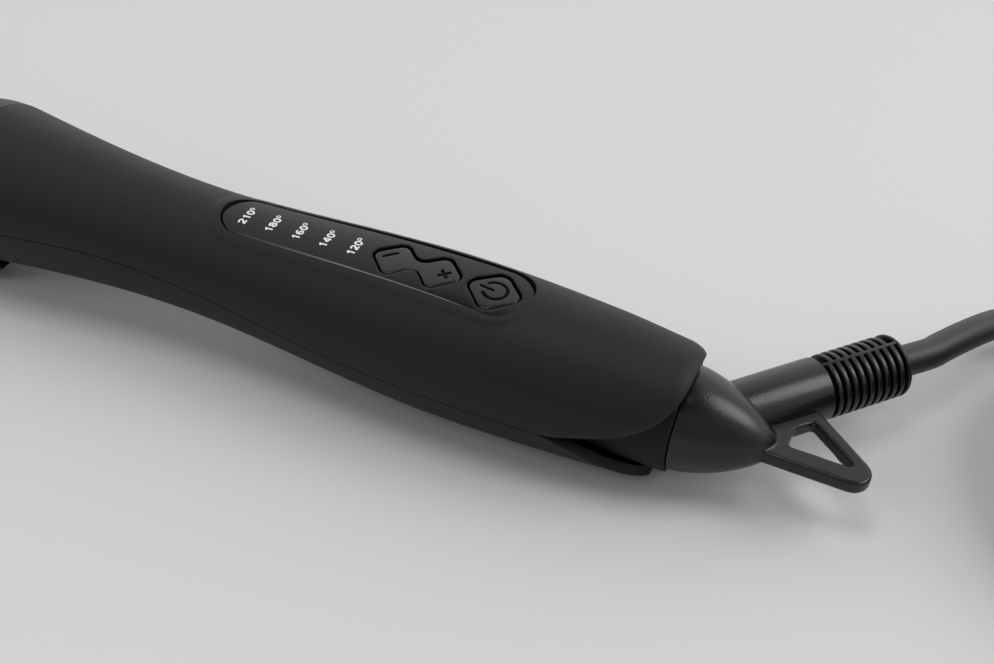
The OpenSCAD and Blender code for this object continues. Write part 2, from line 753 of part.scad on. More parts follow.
module controller_chip() {
    color([0.1, 0.1, 0.1]) wand() panel_frame() translate([-7, -3, -board_drop]) cube([5, 6, 1.5]);
}
under_board = -board_drop - board_t;
module triac() {
    color([0.12, 0.12, 0.12]) wand() panel_frame() translate([0, -5, under_board - 4.5]) cube([15, 10, 4.5]);
}
module film_capacitor() {
    color([0.8, 0.65, 0.15]) wand() panel_frame() translate([20, -3.5, under_board - 10]) cube([13, 7, 10]);
}
module varistor() {
    color([0.15, 0.3, 0.6]) wand() panel_frame() translate([44, 0, under_board - 5]) rotate([90, 0, 0])
        translate([0, 0, -2]) cylinder(h = 4, r = 5);
}
module shell_screws() {
    color("silver") wand() for (place = screw_places) translate([place[0], place[1], head_seat(place)]) {
        cylinder(h = screw_up - head_seat(place), r = screw_r, $fn = 32);
        translate([0, 0, -screw_head_t]) cylinder(h = screw_head_t, r = screw_head_r, $fn = 48);
    }
}

chamber_from = neck_at + 3;
chamber_to = neck_end - 3.3;
chamber_r = 9.8;
module swivel_neck() {
    color([0.1, 0.1, 0.105]) swivel_axis() lathe([
        [neck_at, chamber_r], [neck_at, neck_lip_r], [neck_at + 2.5, neck_lip_r], [neck_at + 2.5, neck_r],
        [neck_end - 0.6, neck_r], [neck_end, neck_r - 0.6], [neck_end, spindle_r + run_clear],
        [chamber_to, spindle_r + run_clear], [chamber_to, chamber_r]]);
}
module neck_cover() {
    color([0.2, 0.2, 0.2]) swivel_axis() difference() {
        rod(neck_at + 0.2, chamber_from, chamber_r - seat_clear);
        for (way = [-1, 1]) translate([0, way * supply_y, 0])
            rod(neck_at - 1, chamber_from + 1, supply_r + seat_clear);
    }
}
supply_y = 6.4;
supply_r = 0.8;
ring_places = [chamber_from + 3.5, chamber_from + 3.5 + 2 * ring_l];
nose_r = 4.6;
brush_t = 0.5;
// Two brass strips run back from the cover and press on the rings from both sides
module contact_brushes() {
    color([0.8, 0.6, 0.25]) swivel_axis() for (k = [0, 1]) let (way = 1 - 2 * k) {
        translate([chamber_from, way * (ring_r + 0.08) + (way > 0 ? 0 : -brush_t), -1.5])
            cube([ring_places[k] + ring_l - chamber_from, brush_t, 3]);
        translate([chamber_from, way > 0 ? ring_r + 0.08 : -ring_r - 0.08 - 2.4, -1.5]) cube([0.8, 2.4, 3]);
    }
}
module supply_wires() {
    color([0.6, 0.15, 0.1]) swivel_axis() for (way = [-1, 1]) translate([0, way * supply_y, 0])
        rod(panel_at + board_rear - 4, chamber_from, supply_r, $fn = 32);
}
spindle_end = relief_at - 1.3;
module swivel_spindle() {
    head_from = ring_places[1] + ring_l + 0.4;
    color([0.85, 0.85, 0.82]) swivel_axis() lathe([
        [chamber_from + 1.4, 0], [chamber_from + 1.4, nose_r], [head_from, nose_r],
        [head_from, chamber_r - 1], [chamber_to - air, chamber_r - 1], [chamber_to - air, spindle_r],
        [spindle_end, spindle_r],
        [spindle_end, 0]]);
}
module slip_rings() {
    color([0.85, 0.65, 0.3]) swivel_axis() for (at = ring_places)
        ring(at, at + ring_l, ring_r, nose_r + seat_clear / 2);
}
cap_outline = [for (k = [0 : 24]) let (t = sin(k * 90 / 24))
    [cap_at + cap_l * t, cap_r * (1 - t^cap_roundness)^(1 / cap_roundness)]];
module relief_axis() {
    translate([relief_at, 0, 0]) rotate([0, 0, relief_heading]) children();
}
// Corners of the loop's hole: along the cap, along the relief, then out to the far corner
hole_front = cap_at + cap_l + 1.4;
hole_inner = relief_r + 1.9;
loop_low = -3.7;
hole_low = loop_low + loop_arm;
far_centre = [loop_end - loop_corner, loop_low + loop_corner];
cross_angle = 140.5;
cross_along = [cos(cross_angle), sin(cross_angle)];
cross_out = [sin(cross_angle), -cos(cross_angle)];
relief_along = [cos(relief_heading), sin(relief_heading)];
relief_side = [sin(relief_heading), -cos(relief_heading)];
// Where a line at a distance from the relief's axis meets a line at a distance from the far corner
function along_cross(dist_relief, dist_far) = let (
    start = far_centre + cross_out * dist_far,
    have = (start - [relief_at, 0]) * relief_side,
    rate = cross_along * relief_side) start + cross_along * ((dist_relief - have) / rate);
cross_far = along_cross(relief_r - 1, loop_corner);
hole_top = along_cross(hole_inner, loop_corner - loop_cross);
hole_right = let (start = far_centre + cross_out * (loop_corner - loop_cross))
    start + cross_along * ((hole_low - start[1]) / cross_along[1]);
hole_left_y = ((hole_front - relief_at) * relief_side[0] - hole_inner) / -relief_side[1];
module loop_plate() {
    translate([0, 0, -loop_t / 2]) linear_extrude(loop_t) difference() {
        union() {
            polygon([[cap_at + 4, loop_low], [far_centre[0], loop_low],
                far_centre + cross_out * loop_corner, cross_far, [relief_at, 0] + relief_along * 8]);
            translate(far_centre) circle(loop_corner);
        }
        polygon([[hole_front, hole_low], hole_right, hole_top, [hole_front, hole_left_y]]);
    }
}
module swivel_cap() {
    color([0.11, 0.11, 0.115]) swivel_axis() difference() {
        union() {
            lathe(concat([[cap_at, 0]], cap_outline));
            loop_plate();
        }
        rod(cap_at - 1, spindle_end + seat_clear, spindle_r + seat_clear);
        relief_axis() rod(relief_from - seat_clear, relief_to, relief_r + seat_clear / 2);
        relief_axis() rod(inner_from - 0.2, relief_from + 1, cord_d / 2 + seat_clear);
    }
}
relief_from = 6;
inner_from = 2.2;
groove_span = 150;
relief_to = relief_plain + groove_pitch * (grooves - 1) + groove_w + relief_end;
module groove(at, turn) {
    rotate([turn, 0, 0]) rotate([0, 90, 0]) translate([0, 0, at])
        rotate_extrude(angle = groove_span) translate([relief_r - groove_d, 0])
            square([groove_d + 1, groove_w]);
}
module strain_relief() {
    color([0.11, 0.11, 0.115]) swivel_axis() relief_axis() difference() {
        lathe([[relief_from, cord_d / 2 + seat_clear], [relief_from, relief_r], [relief_to - 1.6, relief_r],
            [relief_to - 0.5, relief_r - 0.5], [relief_to, relief_r - 1.6],
            [relief_to, cord_d / 2 + seat_clear]]);
        for (k = [0 : grooves - 1]) groove(relief_plain + k * groove_pitch, 15);
        for (k = [0 : grooves - 2]) groove(relief_plain + (k + 0.5) * groove_pitch, 195);
    }
}
module inner_cord() {
    color([0.07, 0.07, 0.07]) swivel_axis() relief_axis() rod(inner_from, relief_to, cord_d / 2);
}

module flip_rest() {
    color([0.1, 0.1, 0.11]) difference() {
        union() {
            translate([hinge_x, rest_w / 2, rest_hinge_z]) rotate([90, 0, 0])
                cylinder(h = rest_w, r = knuckle_r);
            translate([hinge_x - rest_l + 3, -rest_w / 2, pad_h]) cube([rest_l - 3, rest_w, rest_t]);
            translate([hinge_x - rest_l, -rest_w / 2 + 3, pad_h]) cube([rest_l - 3, rest_w - 6, rest_t]);
            for (way = [-1, 1]) translate([hinge_x - rest_l + 3, way * (rest_w / 2 - 3), pad_h])
                cylinder(h = rest_t, r = 3);
        }
        translate([hinge_x, rest_w, rest_hinge_z]) rotate([90, 0, 0])
            cylinder(h = 2 * rest_w, r = pin_r + run_clear, $fn = 48);
        translate([hinge_x - rest_l * 0.66, -3.5, pad_h - 1]) cube([rest_l * 0.42, 7, rest_t + 2]);
    }
}
module rest_pads() {
    color([0.03, 0.03, 0.03]) for (way = [-1, 1])
        translate([hinge_x - rest_l + pad_r + 1, way * (rest_w / 2 - pad_r - 0.5), 0])
            cylinder(h = pad_h, r = pad_r);
}
module rest_pin() {
    color("silver") translate([hinge_x, ear_y + ear_t, rest_hinge_z]) rotate([90, 0, 0])
        cylinder(h = 2 * (ear_y + ear_t), r = pin_r, $fn = 48);
}

// World place of a point given along the relief's axis
function relief_point(d) = let (
    u = relief_at + d * cos(relief_heading),
    y = d * sin(relief_heading),
    w = -swivel_drop) [wand_x + u * cos(tilt) + w * sin(tilt), y, wand_z - u * sin(tilt) + w * cos(tilt)];
cord_start = relief_point(relief_to);
cord_heading = [cos(relief_heading) * cos(tilt), sin(relief_heading), -cos(relief_heading) * sin(tilt)];

// The free cord: points chosen by hand, in millimetres in the world frame
lead_route = [[194.2, 42.1, 12.6], [196.1, 45.5, 12.3], [198, 49, 11.9], [200, 52.6, 11.4], [202, 56.2, 10.8],
    [204.1, 59.9, 10], [206.4, 63.4, 9.1], [209.3, 66.5, 8.1], [212.5, 69.1, 7.1], [216.2, 71.2, 6.2],
    [220.1, 72.8, 5.5], [224.2, 73.7, 5], [228.1, 74.2, 4.7], [232, 74.5, 4.5], [238, 75, 4.45],
    [243.9, 75.5, 4.45]];
coil_centre = [260.5, 34.9];
coil_start = 95;
cord_r = cord_d / 2;
coil_floor = tie_t + 0.2 + cord_r;
// The route of the tail: off the top layer, down to the table and into the plug
tail_route = [[261.4, 74.3, 24.6], [269, 75.9, 24.6], [276.4, 77.3, 24.1], [284.1, 77.5, 22.6],
    [291.7, 76.1, 20.5], [298.7, 73.3, 17.9], [305.1, 69, 15.1], [310.6, 63.5, 12.3], [314.8, 57, 9.9],
    [317.6, 49.8, 8], [318.9, 42.5, 7]];
tail_heading = [0, -1, 0];
plug_entry = [319, 34.7, plug_t / 2];

turns_total = coil_layers * coil_turns + (coil_layers - 1) * 0.5 - coil_left_off;
coil_out = coil_r + coil_turns * coil_pitch / 2;
coil_in = coil_r - coil_turns * coil_pitch / 2;
block = coil_turns + 0.5;
// How far a climbing half turn bows away from the layer it leaves
climb_bow = 1;
// Radius and height of the wound cord after t turns: each layer spirals in or out, then climbs in half a turn
function coil_layer(t) = min(floor(t / block), coil_layers - 1);
function coil_rho(t) = let (
    k = coil_layer(t),
    s = min((t - k * block) / coil_turns, 1),
    climb = clamp((t - k * block - coil_turns) / 0.5, 0, 1),
    inwards = k % 2 == 0,
    from = inwards ? coil_out : coil_in,
    to = inwards ? coil_in : coil_out)
    from + (to - from) * s + (inwards ? -1 : 1) * climb_bow * sin(180 * climb);
function coil_high(t) = let (
    k = coil_layer(t),
    climb = clamp((t - k * block - coil_turns) / 0.5, 0, 1))
    coil_floor + coil_pitch * (k + (1 - cos(180 * climb)) / 2);
function coil_point(t) = let (a = coil_start - 360 * t, r = coil_rho(t))
    [coil_centre[0] + r * cos(a), coil_centre[1] + r * sin(a), coil_high(t)];
coil_steps = 24;
coil_count = ceil(coil_steps * turns_total);
coil_points = [for (k = [0 : coil_count]) coil_point(turns_total * k / coil_count)];

function unit(v) = v / norm(v);
function tangent(points, k) = let (n = len(points))
    unit(points[min(k + 1, n - 1)] - points[max(k - 1, 0)]);
// Tube through a list of points; its end rings stand square to the given directions
module tube(points, sides, first, last) {
    n = len(points);
    rings = [for (k = [0 : n - 1]) let (
        along = k == 0 ? unit(first) : k == n - 1 ? unit(last) : tangent(points, k),
        across = unit(cross(along, [0, 0, 1])),
        up = cross(across, along))
        [for (j = [0 : sides - 1]) let (a = 360 * (j + 0.5) / sides)
            points[k] + cord_r * (across * cos(a) + up * sin(a))]];
    walls = [for (k = [0 : n - 2], j = [0 : sides - 1]) let (
        a = k * sides + j,
        b = k * sides + (j + 1) % sides) each [[a, a + sides, b], [b, a + sides, b + sides]]];
    end = (n - 1) * sides;
    caps = [for (j = [1 : sides - 2]) each [[0, j, j + 1], [end, end + j + 1, end + j]]];
    polyhedron([for (ring = rings) each ring], concat(walls, caps), convexity = 10);
}
coil_lead_in = coil_point(0);
coil_lead_dir = unit(coil_point(0.01) - coil_point(0));
coil_exit = coil_point(turns_total);
coil_exit_dir = unit(coil_point(turns_total) - coil_point(turns_total - 0.01));
lead_points = concat([cord_start, cord_start + cord_heading * cord_r / 2], lead_route,
    [coil_lead_in - coil_lead_dir * cord_d, coil_lead_in - coil_lead_dir * seat_clear]);
tail_points = concat([coil_exit, coil_exit + coil_exit_dir * cord_d], tail_route, [plug_entry]);
module cord_lead() {
    color([0.07, 0.07, 0.07]) tube(lead_points, 8, cord_heading, coil_lead_dir);
}
module cord_coil() {
    color([0.07, 0.07, 0.07]) tube(coil_points, 6, coil_lead_dir, coil_exit_dir);
}
module cord_tail() {
    color([0.07, 0.07, 0.07]) tube(tail_points, 8, coil_exit_dir, tail_heading);
}
// Least distance between passes of the coil that are at least half a turn apart
coil_gap = min([for (i = [0 : len(coil_points) - 1], j = [i + 12 : 1 : len(coil_points) - 1])
    norm(coil_points[i] - coil_points[j])]) - cord_d;
function path_length(points) = let (steps = [for (k = [1 : len(points) - 1]) norm(points[k] - points[k - 1])])
    steps * [for (step = steps) 1];
echo(coil_gap = coil_gap);
echo(cord_length = path_length(lead_points) + path_length(coil_points) + path_length(tail_points));

tie_angle = coil_start - 90;
tie_corner = 2.2;
module rounded_box(low, high, corner) {
    translate(low + [corner, 0]) square([high[0] - low[0] - 2 * corner, high[1] - low[1]]);
    translate(low + [0, corner]) square([high[0] - low[0], high[1] - low[1] - 2 * corner]);
    for (x = [low[0] + corner, high[0] - corner], y = [low[1] + corner, high[1] - corner])
        translate([x, y]) circle(corner);
}
module coil_tie() {
    in_face = coil_in - cord_d / 2 - 1.2;
    out_face = coil_out + cord_d / 2 + 0.4;
    high = coil_floor + coil_pitch * (coil_layers - 1) + cord_d / 2 + air;
    low = tie_t;
    color([0.05, 0.05, 0.055]) translate([coil_centre[0], coil_centre[1], 0]) rotate([0, 0, tie_angle])
        translate([0, tie_w / 2, 0]) rotate([90, 0, 0]) linear_extrude(tie_w) difference() {
            rounded_box([in_face - tie_t, 0], [out_face + tie_t, high + tie_t], tie_corner + tie_t);
            rounded_box([in_face, low], [out_face, high], tie_corner);
        }
}
module at_plug() {
    translate(plug_entry) rotate([0, 0, atan2(tail_heading[1], tail_heading[0])]) children();
}
plug_neck_l = 11;
plug_neck_r = 5.2;
plug_back_t = 11;
plug_corner = 3;
// Half outline of the plug from its cord end: a swelling curve, then a rounded corner at the pins' face
plug_outline = concat(
    [for (k = [0 : 8]) let (t = k / 8)
        [t * plug_l * 0.7, plug_neck_r + 1 + (plug_w / 2 - plug_neck_r - 1) * sin(90 * t)]],
    [for (k = [0 : 4]) let (a = k * 22.5)
        [plug_l - plug_corner * (1 - sin(a)), plug_w / 2 - plug_corner * (1 - cos(a))]]);
module plug_body() {
    color([0.07, 0.07, 0.075]) at_plug() {
        lathe([[0, 0], [0, plug_neck_r - 0.8], [0.8, plug_neck_r],
            [plug_neck_l + 1, plug_neck_r], [plug_neck_l + 1, 0]]);
        translate([plug_neck_l, 0, 0]) intersection() {
            translate([0, 0, -plug_t / 2]) linear_extrude(plug_t) polygon(concat(
                [for (p = plug_outline) [p[0], -p[1]]],
                [for (k = [len(plug_outline) - 1 : -1 : 0]) plug_outline[k]]));
            rotate([90, 0, 0]) translate([0, 0, -plug_w / 2]) linear_extrude(plug_w) polygon([
                [0, -plug_back_t / 2], [plug_l * 0.5, -plug_t / 2], [plug_l, -plug_t / 2],
                [plug_l, plug_t / 2], [plug_l * 0.5, plug_t / 2], [0, plug_back_t / 2]]);
        }
    }
}
plug_face = plug_neck_l + plug_l;
sleeve_t = 0.4;
module plug_pins() {
    color("silver") at_plug() for (way = [-1, 1]) translate([0, way * contact_pitch / 2, 0]) {
        rod(plug_face, plug_face + sleeve_l, sleeve_r - sleeve_t);
        rod(plug_face + sleeve_l, plug_face + contact_l - 1, contact_r);
        translate([plug_face + contact_l - 1, 0, 0]) rotate([0, 90, 0])
            cylinder(h = 1, r1 = contact_r, r2 = contact_r - 0.8);
    }
}
module pin_sleeves() {
    color([0.05, 0.05, 0.05]) at_plug() for (way = [-1, 1]) translate([0, way * contact_pitch / 2, 0])
        ring(plug_face, plug_face + sleeve_l, sleeve_r, sleeve_r - sleeve_t + seat_clear / 2);
}

top_shell();
bottom_shell();
collar();
barrel();
barrel_seat();
cool_tip();
heat_spreader_upper();
heat_spreader_lower();
ceramic_elements();
mica_sheets();
heater_wires();
thermal_fuse();
thermistor();
control_panel();
rocker_button();
rocker_axle();
power_button();
circuit_board();
board_screws();
key_switches();
indicator_leds();
light_frame();
controller_chip();
triac();
film_capacitor();
varistor();
shell_screws();
swivel_neck();
neck_cover();
contact_brushes();
supply_wires();
swivel_spindle();
slip_rings();
swivel_cap();
strain_relief();
inner_cord();
flip_rest();
rest_pads();
rest_pin();
cord_lead();
cord_coil();
cord_tail();
coil_tie();
plug_body();
plug_pins();
pin_sleeves();
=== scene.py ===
from contextlib import contextmanager
import math
import bmesh
import bpy
from mathutils import Matrix, Vector
from mathutils.geometry import delaunay_2d_cdt


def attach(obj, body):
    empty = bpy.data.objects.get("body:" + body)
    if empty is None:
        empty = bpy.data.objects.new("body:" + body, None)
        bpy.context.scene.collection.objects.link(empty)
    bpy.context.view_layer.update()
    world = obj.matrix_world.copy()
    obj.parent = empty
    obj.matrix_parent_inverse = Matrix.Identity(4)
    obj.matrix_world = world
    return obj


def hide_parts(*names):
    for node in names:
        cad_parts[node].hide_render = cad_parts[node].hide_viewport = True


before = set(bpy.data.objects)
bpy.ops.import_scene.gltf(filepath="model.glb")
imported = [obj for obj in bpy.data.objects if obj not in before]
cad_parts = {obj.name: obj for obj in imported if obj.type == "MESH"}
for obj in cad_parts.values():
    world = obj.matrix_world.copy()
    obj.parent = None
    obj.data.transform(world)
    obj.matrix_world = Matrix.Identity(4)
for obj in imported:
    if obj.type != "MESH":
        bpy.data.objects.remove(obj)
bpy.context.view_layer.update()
scene = bpy.context.scene
mm = 0.001

# The wand's own frame, in millimetres: u runs along the axis from the front edge of the shells towards the
# cord, y across, w up. The table is at z = 0.
grip = dict(
    tilt=2.56, length=171.0, frontRadius=18.75, waistRadius=14.2, waistAt=57.0, bellyRadius=17.15,
    bellyAt=119.0, rearRadius=14.5, frontFlare=0.125, rearTaper=0.075, wall=2.2, seam=0.2,
    partingFront=-0.4, partingHigh=1.5, partingHighAt=38.0, partingLow=-2.6, partingLowAt=104.0,
    mouthAt=144.0, mouthLength=26.1, mouthTop=14.8, mouthRoundness=1.75, tongueLength=21.4, tongueCurve=1.35,
    tongueEnd=0.9, rearFall=0.55, rearFallFrom=150.0, topWall=1.5,
    rimFall=2.0, rimReach=2.7, rimSpan=20.0, rimTurn=0.8, rimStart=2.5, rimRound=0.6, seamRound=0.3,
)
barrel = dict(gap=0.4, collarLength=14.0, collarFront=16.8, length=140.0, rootRadius=12.5, endRadius=6.5,
              endRound=0.3, wall=1.1)
tip = dict(length=22.0, radius=7.8, plug=10.0, air=0.05, waistAt=8.0, waistDrop=0.5, noseAt=16.0, nose=0.9,
           rearRound=0.6, waistRound=12.0, noseRound=10.0)
swivel = dict(drop=0.7, neckSet=0.5, neckLength=24.4, neckRadius=11.6, lipLength=2.5, lipRadius=12.7,
              lipRound=0.3, innerRound=0.2, faceRound=0.45, boreRadius=9.8, faceBore=6.6, faceWall=3.3,
              gap=0.3, capRadius=10.9, capLength=19.1, capRoundness=1.5, reliefSet=4.1)
relief = dict(heading=48.7, lift=1.0, radius=6.7, start=6.0, plain=26.35, grooves=10, pitch=1.89,
              grooveWidth=0.84, grooveDepth=1.7, sink=0.3, web=4.0, collar=1.25, air=0.05,
              edgeRound=0.35, coreRound=0.2, endRound=1.0, webSpare=0.1, webRound=0.2)
mouthAt = grip["mouthAt"]
neckAt = mouthAt + swivel["neckSet"]
neckEnd = neckAt + swivel["neckLength"]
capAt = neckEnd + swivel["gap"]
capEnd = capAt + swivel["capLength"]
reliefAt = capAt + swivel["reliefSet"]
grooveEnd = relief["plain"] + relief["pitch"] * (relief["grooves"] - 1) + relief["grooveWidth"]
reliefEnd = grooveEnd + relief["collar"]
loopReach = 18.0


def clamp(t, low=0.0, high=1.0):
    return min(max(t, low), high)


def between(a, b, t):
    return a + (b - a) * t


def ease(t):
    t = clamp(t)
    return t * t * (3 - 2 * t)


def hermite(t, a, b, slopeA, slopeB):
    return ((2 * t**3 - 3 * t**2 + 1) * a + (t**3 - 2 * t**2 + t) * slopeA
            + (3 * t**2 - 2 * t**3) * b + (t**3 - t**2) * slopeB)


def gripRadius(u):
    u = clamp(u, 0.0, grip["length"])
    waist, belly = grip["waistAt"], grip["bellyAt"]
    if u < waist:
        return hermite(u / waist, grip["frontRadius"], grip["waistRadius"], -grip["frontFlare"] * waist, 0)
    if u < belly:
        return hermite((u - waist) / (belly - waist), grip["waistRadius"], grip["bellyRadius"], 0, 0)
    left = grip["length"] - belly
    return hermite((u - belly) / left, grip["bellyRadius"], grip["rearRadius"], 0, -grip["rearTaper"] * left)


def partingHeight(u):
    highAt, lowAt = grip["partingHighAt"], grip["partingLowAt"]
    if u < highAt:
        return between(grip["partingFront"], grip["partingHigh"], ease(u / highAt))
    return between(grip["partingHigh"], grip["partingLow"], ease((u - highAt) / (lowAt - highAt)))


tilt = math.radians(grip["tilt"])
frontReach = barrel["collarLength"] + barrel["gap"] + barrel["length"] + tip["length"]
wandX = (frontReach - capEnd - loopReach) / 2 * math.cos(tilt)
bellyStations = [grip["length"] / 100 * k for k in range(58, 84)]    # the wand rests on one of them
wandZ = max(u * math.sin(tilt) + gripRadius(u) * math.cos(tilt) for u in bellyStations)
worldPlace = Matrix.Scale(mm, 4)
wandPlace = Matrix.Translation((wandX * mm, 0, wandZ * mm)) @ Matrix.Rotation(tilt, 4, "Y") @ worldPlace
swivelPlace = wandPlace @ Matrix.Translation((0, 0, -swivel["drop"]))
reliefPlace = (swivelPlace @ Matrix.Translation((reliefAt, 0, 0))
               @ Matrix.Rotation(math.radians(relief["heading"]), 4, "Z")
               @ Matrix.Rotation(-math.radians(relief["lift"]), 4, "Y"))

# Camera at the photograph's place
view = dict(place=(0.195425, -0.177, 0.1883), azimuth=25.012, elevation=40.419, lens=45.27, sensor=36.0,
            nearest=0.01)
azimuth, elevation = math.radians(view["azimuth"]), math.radians(view["elevation"])
camera = bpy.data.objects.new("camera", bpy.data.cameras.new("camera"))
scene.collection.objects.link(camera)
camera.location = view["place"]
camera.rotation_mode = "QUATERNION"
camera.rotation_quaternion = Vector((
    -math.sin(azimuth) * math.cos(elevation), math.cos(azimuth) * math.cos(elevation), -math.sin(elevation),
)).to_track_quat("-Z", "Y")
camera.data.lens = view["lens"]
camera.data.sensor_width = view["sensor"]
camera.data.clip_start = view["nearest"]
scene.camera = camera
print("camera placed")


def connect(tree, node, inputs):
    # Each input, by name or number, is linked from a socket or set to a value
    for key, value in inputs.items():
        if isinstance(value, bpy.types.NodeSocket):
            tree.links.new(value, node.inputs[key])
        else:
            node.inputs[key].default_value = value


def addNode(tree, kind, inputs=None, **settings):
    node = tree.nodes.new(kind)
    for key, value in settings.items():
        setattr(node, key, value)
    connect(tree, node, inputs or {})
    return node


# Finishes: each is a moulded, coated or metal surface with its own grain, in object coordinates
surface = dict(coatRoughness=0.05, leastRoughness=0.02, bump=0.7)


def finish(name, colour, roughness, variation=0.12, mottle=60, spread=0.06, grain=1500, depth=0.01,
           metallic=0.0, coat=0.0, specular=0.5, stretch=(1, 1, 1), leather=0):
    material = bpy.data.materials.new(name)
    material.use_nodes = True
    tree = material.node_tree
    where = addNode(tree, "ShaderNodeTexCoord").outputs["Object"]
    where = addNode(tree, "ShaderNodeMapping", {"Vector": where, "Scale": stretch}).outputs["Vector"]

    def noise(scale, detail):
        inputs = {"Vector": where, "Scale": scale, "Detail": detail}
        return addNode(tree, "ShaderNodeTexNoise", inputs).outputs["Fac"]

    cloud = noise(mottle, 4)
    dark, light = ([min(c * (1 + way * variation), 1) for c in colour] + [1] for way in (-1, 1))
    tint = addNode(tree, "ShaderNodeMix", {"Factor": cloud, "A": dark, "B": light}, data_type="RGBA")
    wear = addNode(tree, "ShaderNodeMapRange", {
        "Value": cloud, "To Min": max(roughness - spread, surface["leastRoughness"]),
        "To Max": min(roughness + spread, 1)})
    inputs = {"Base Color": tint.outputs["Result"], "Roughness": wear.outputs["Result"], "Metallic": metallic,
              "Coat Weight": coat, "Coat Roughness": surface["coatRoughness"], "Specular IOR Level": specular}
    if depth:
        if leather:
            cells = addNode(tree, "ShaderNodeTexVoronoi", {"Vector": where, "Scale": leather})
            height = cells.outputs["Distance"]
        else:
            height = noise(grain, 3)
        inputs["Normal"] = addNode(tree, "ShaderNodeBump", {
            "Height": height, "Strength": surface["bump"], "Distance": depth * mm}).outputs["Normal"]
    connect(tree, tree.nodes["Principled BSDF"], inputs)
    return material


softTouch = finish("soft touch black", (0.007, 0.007, 0.0075), 0.55, grain=2600, depth=0.012, specular=0.28)
collarBlack = finish("collar black", (0.014, 0.014, 0.015), 0.5, grain=2600, depth=0.012, specular=0.4)
panelGloss = finish("panel gloss black", (0.004, 0.004, 0.0045), 0.1, spread=0.02, depth=0, specular=0.22)
polishedEdge = finish("panel polished edge", (0.005, 0.005, 0.0055), 0.12, spread=0.02, depth=0, specular=0.8)
buttonGloss = finish("button gloss black", (0.006, 0.006, 0.0065), 0.2, spread=0.03, grain=1800, depth=0.002,
                     specular=0.36)
satinBlack = finish("satin leather grain", (0.0045, 0.0045, 0.005), 0.26, leather=2400, depth=0.026,
                    specular=0.4)
# The neck's black is less shiny than the shells' and darker than them; the extra darkness is painted shade
# for the neck down in the mouth of the shells
neckMattShadeBlack = finish("neck matt black with painted shade", (0.0045, 0.0045, 0.005), 0.55, grain=3000, depth=0.012, specular=0.2)
# A nearly unreflecting black for the floors of the sunk button marks and the cover inside the neck: painted
# shade, so these hollows read dark
insideShadeBlack = finish("inside black with painted shade", (0.004, 0.004, 0.004), 0.8, grain=2000, depth=0.01, specular=0.08)
cordRubber = finish("cord rubber", (0.01, 0.01, 0.0105), 0.46, grain=2200, depth=0.008)
plugRubber = finish("plug vinyl", (0.012, 0.012, 0.0125), 0.5, leather=2200, depth=0.015)
strapRubber = finish("strap rubber", (0.014, 0.014, 0.015), 0.6, grain=2400, depth=0.015)
barrelCoat = finish("barrel ceramic coat", (0.05, 0.045, 0.052), 0.3, variation=0.08, grain=5200, depth=0.004,
                    metallic=0.55, coat=0.2)
tipBlack = finish("cool tip black", (0.014, 0.014, 0.015), 0.45, grain=2400, depth=0.012)
bakedCeramic = finish("baked ceramic", (0.62, 0.57, 0.47), 0.7, variation=0.08, grain=1800, depth=0.02)
aluminium = finish("extruded aluminium", (0.62, 0.62, 0.64), 0.34, mottle=300, metallic=1.0,
                   stretch=(0.05, 1, 1))
elementGrey = finish("element ceramic", (0.3, 0.31, 0.33), 0.6, grain=2000, depth=0.02)
micaGold = finish("mica sheet", (0.55, 0.4, 0.18), 0.35, variation=0.25, mottle=260, grain=900, depth=0.03)
wireSleeve = finish("glass sleeve", (0.62, 0.6, 0.5), 0.75, grain=4200, depth=0.03)
tinnedSteel = finish("bright steel", (0.66, 0.66, 0.67), 0.26, mottle=200, metallic=1.0)
amberBead = finish("amber bead", (0.42, 0.14, 0.04), 0.2, coat=0.4)
boardGreen = finish("board green", (0.02, 0.13, 0.06), 0.35, mottle=420, coat=0.5)
switchGrey = finish("switch grey", (0.09, 0.09, 0.1), 0.45)
whitePlastic = finish("white plastic", (0.78, 0.78, 0.76), 0.5, variation=0.04)
printWhite = finish("number white", (0.7, 0.71, 0.7), 0.45, variation=0.05, depth=0)
chipBlack = finish("chip black", (0.015, 0.015, 0.016), 0.5)
filmYellow = finish("film yellow", (0.55, 0.4, 0.05), 0.4, coat=0.3)
varistorBlue = finish("varistor blue", (0.03, 0.09, 0.3), 0.4, coat=0.3)
spindleNylon = finish("spindle nylon", (0.68, 0.67, 0.62), 0.5, variation=0.05)
brass = finish("brass", (0.6, 0.42, 0.14), 0.3, mottle=240, metallic=1.0)
wireRed = finish("wire red", (0.3, 0.03, 0.02), 0.4)
padRubber = finish("pad rubber", (0.008, 0.008, 0.008), 0.75, grain=2600, depth=0.02)
pinPlate = finish("pin nickel", (0.6, 0.59, 0.57), 0.22, mottle=260, metallic=1.0)
pinSleeve = finish("pin sleeve", (0.01, 0.01, 0.01), 0.5)
print("finishes made")


# Mesh helpers
@contextmanager
def editing(mesh):
    work = bmesh.new()
    work.from_mesh(mesh)
    yield work
    work.to_mesh(mesh)
    work.free()


def merged(work):
    bmesh.ops.remove_doubles(work, verts=work.verts, dist=1e-7)


def bevelled(work, width, segments, angle):
    # Rounds the edges that are sharper than the angle
    edges = [e for e in work.edges if e.is_manifold and e.calc_face_angle(0) > math.radians(angle)]
    bmesh.ops.bevel(work, geom=edges, offset=width * mm, segments=segments, profile=0.5, affect="EDGES",
                    clamp_overlap=True)


def solid(points, faces, place=wandPlace, bevel=None):
    mesh = bpy.data.meshes.new("mesh")
    mesh.from_pydata([place @ Vector(p) for p in points], [], faces)
    with editing(mesh) as work:
        merged(work)
        bmesh.ops.recalc_face_normals(work, faces=work.faces)
        if bevel:
            bevelled(work, *bevel)
    return mesh


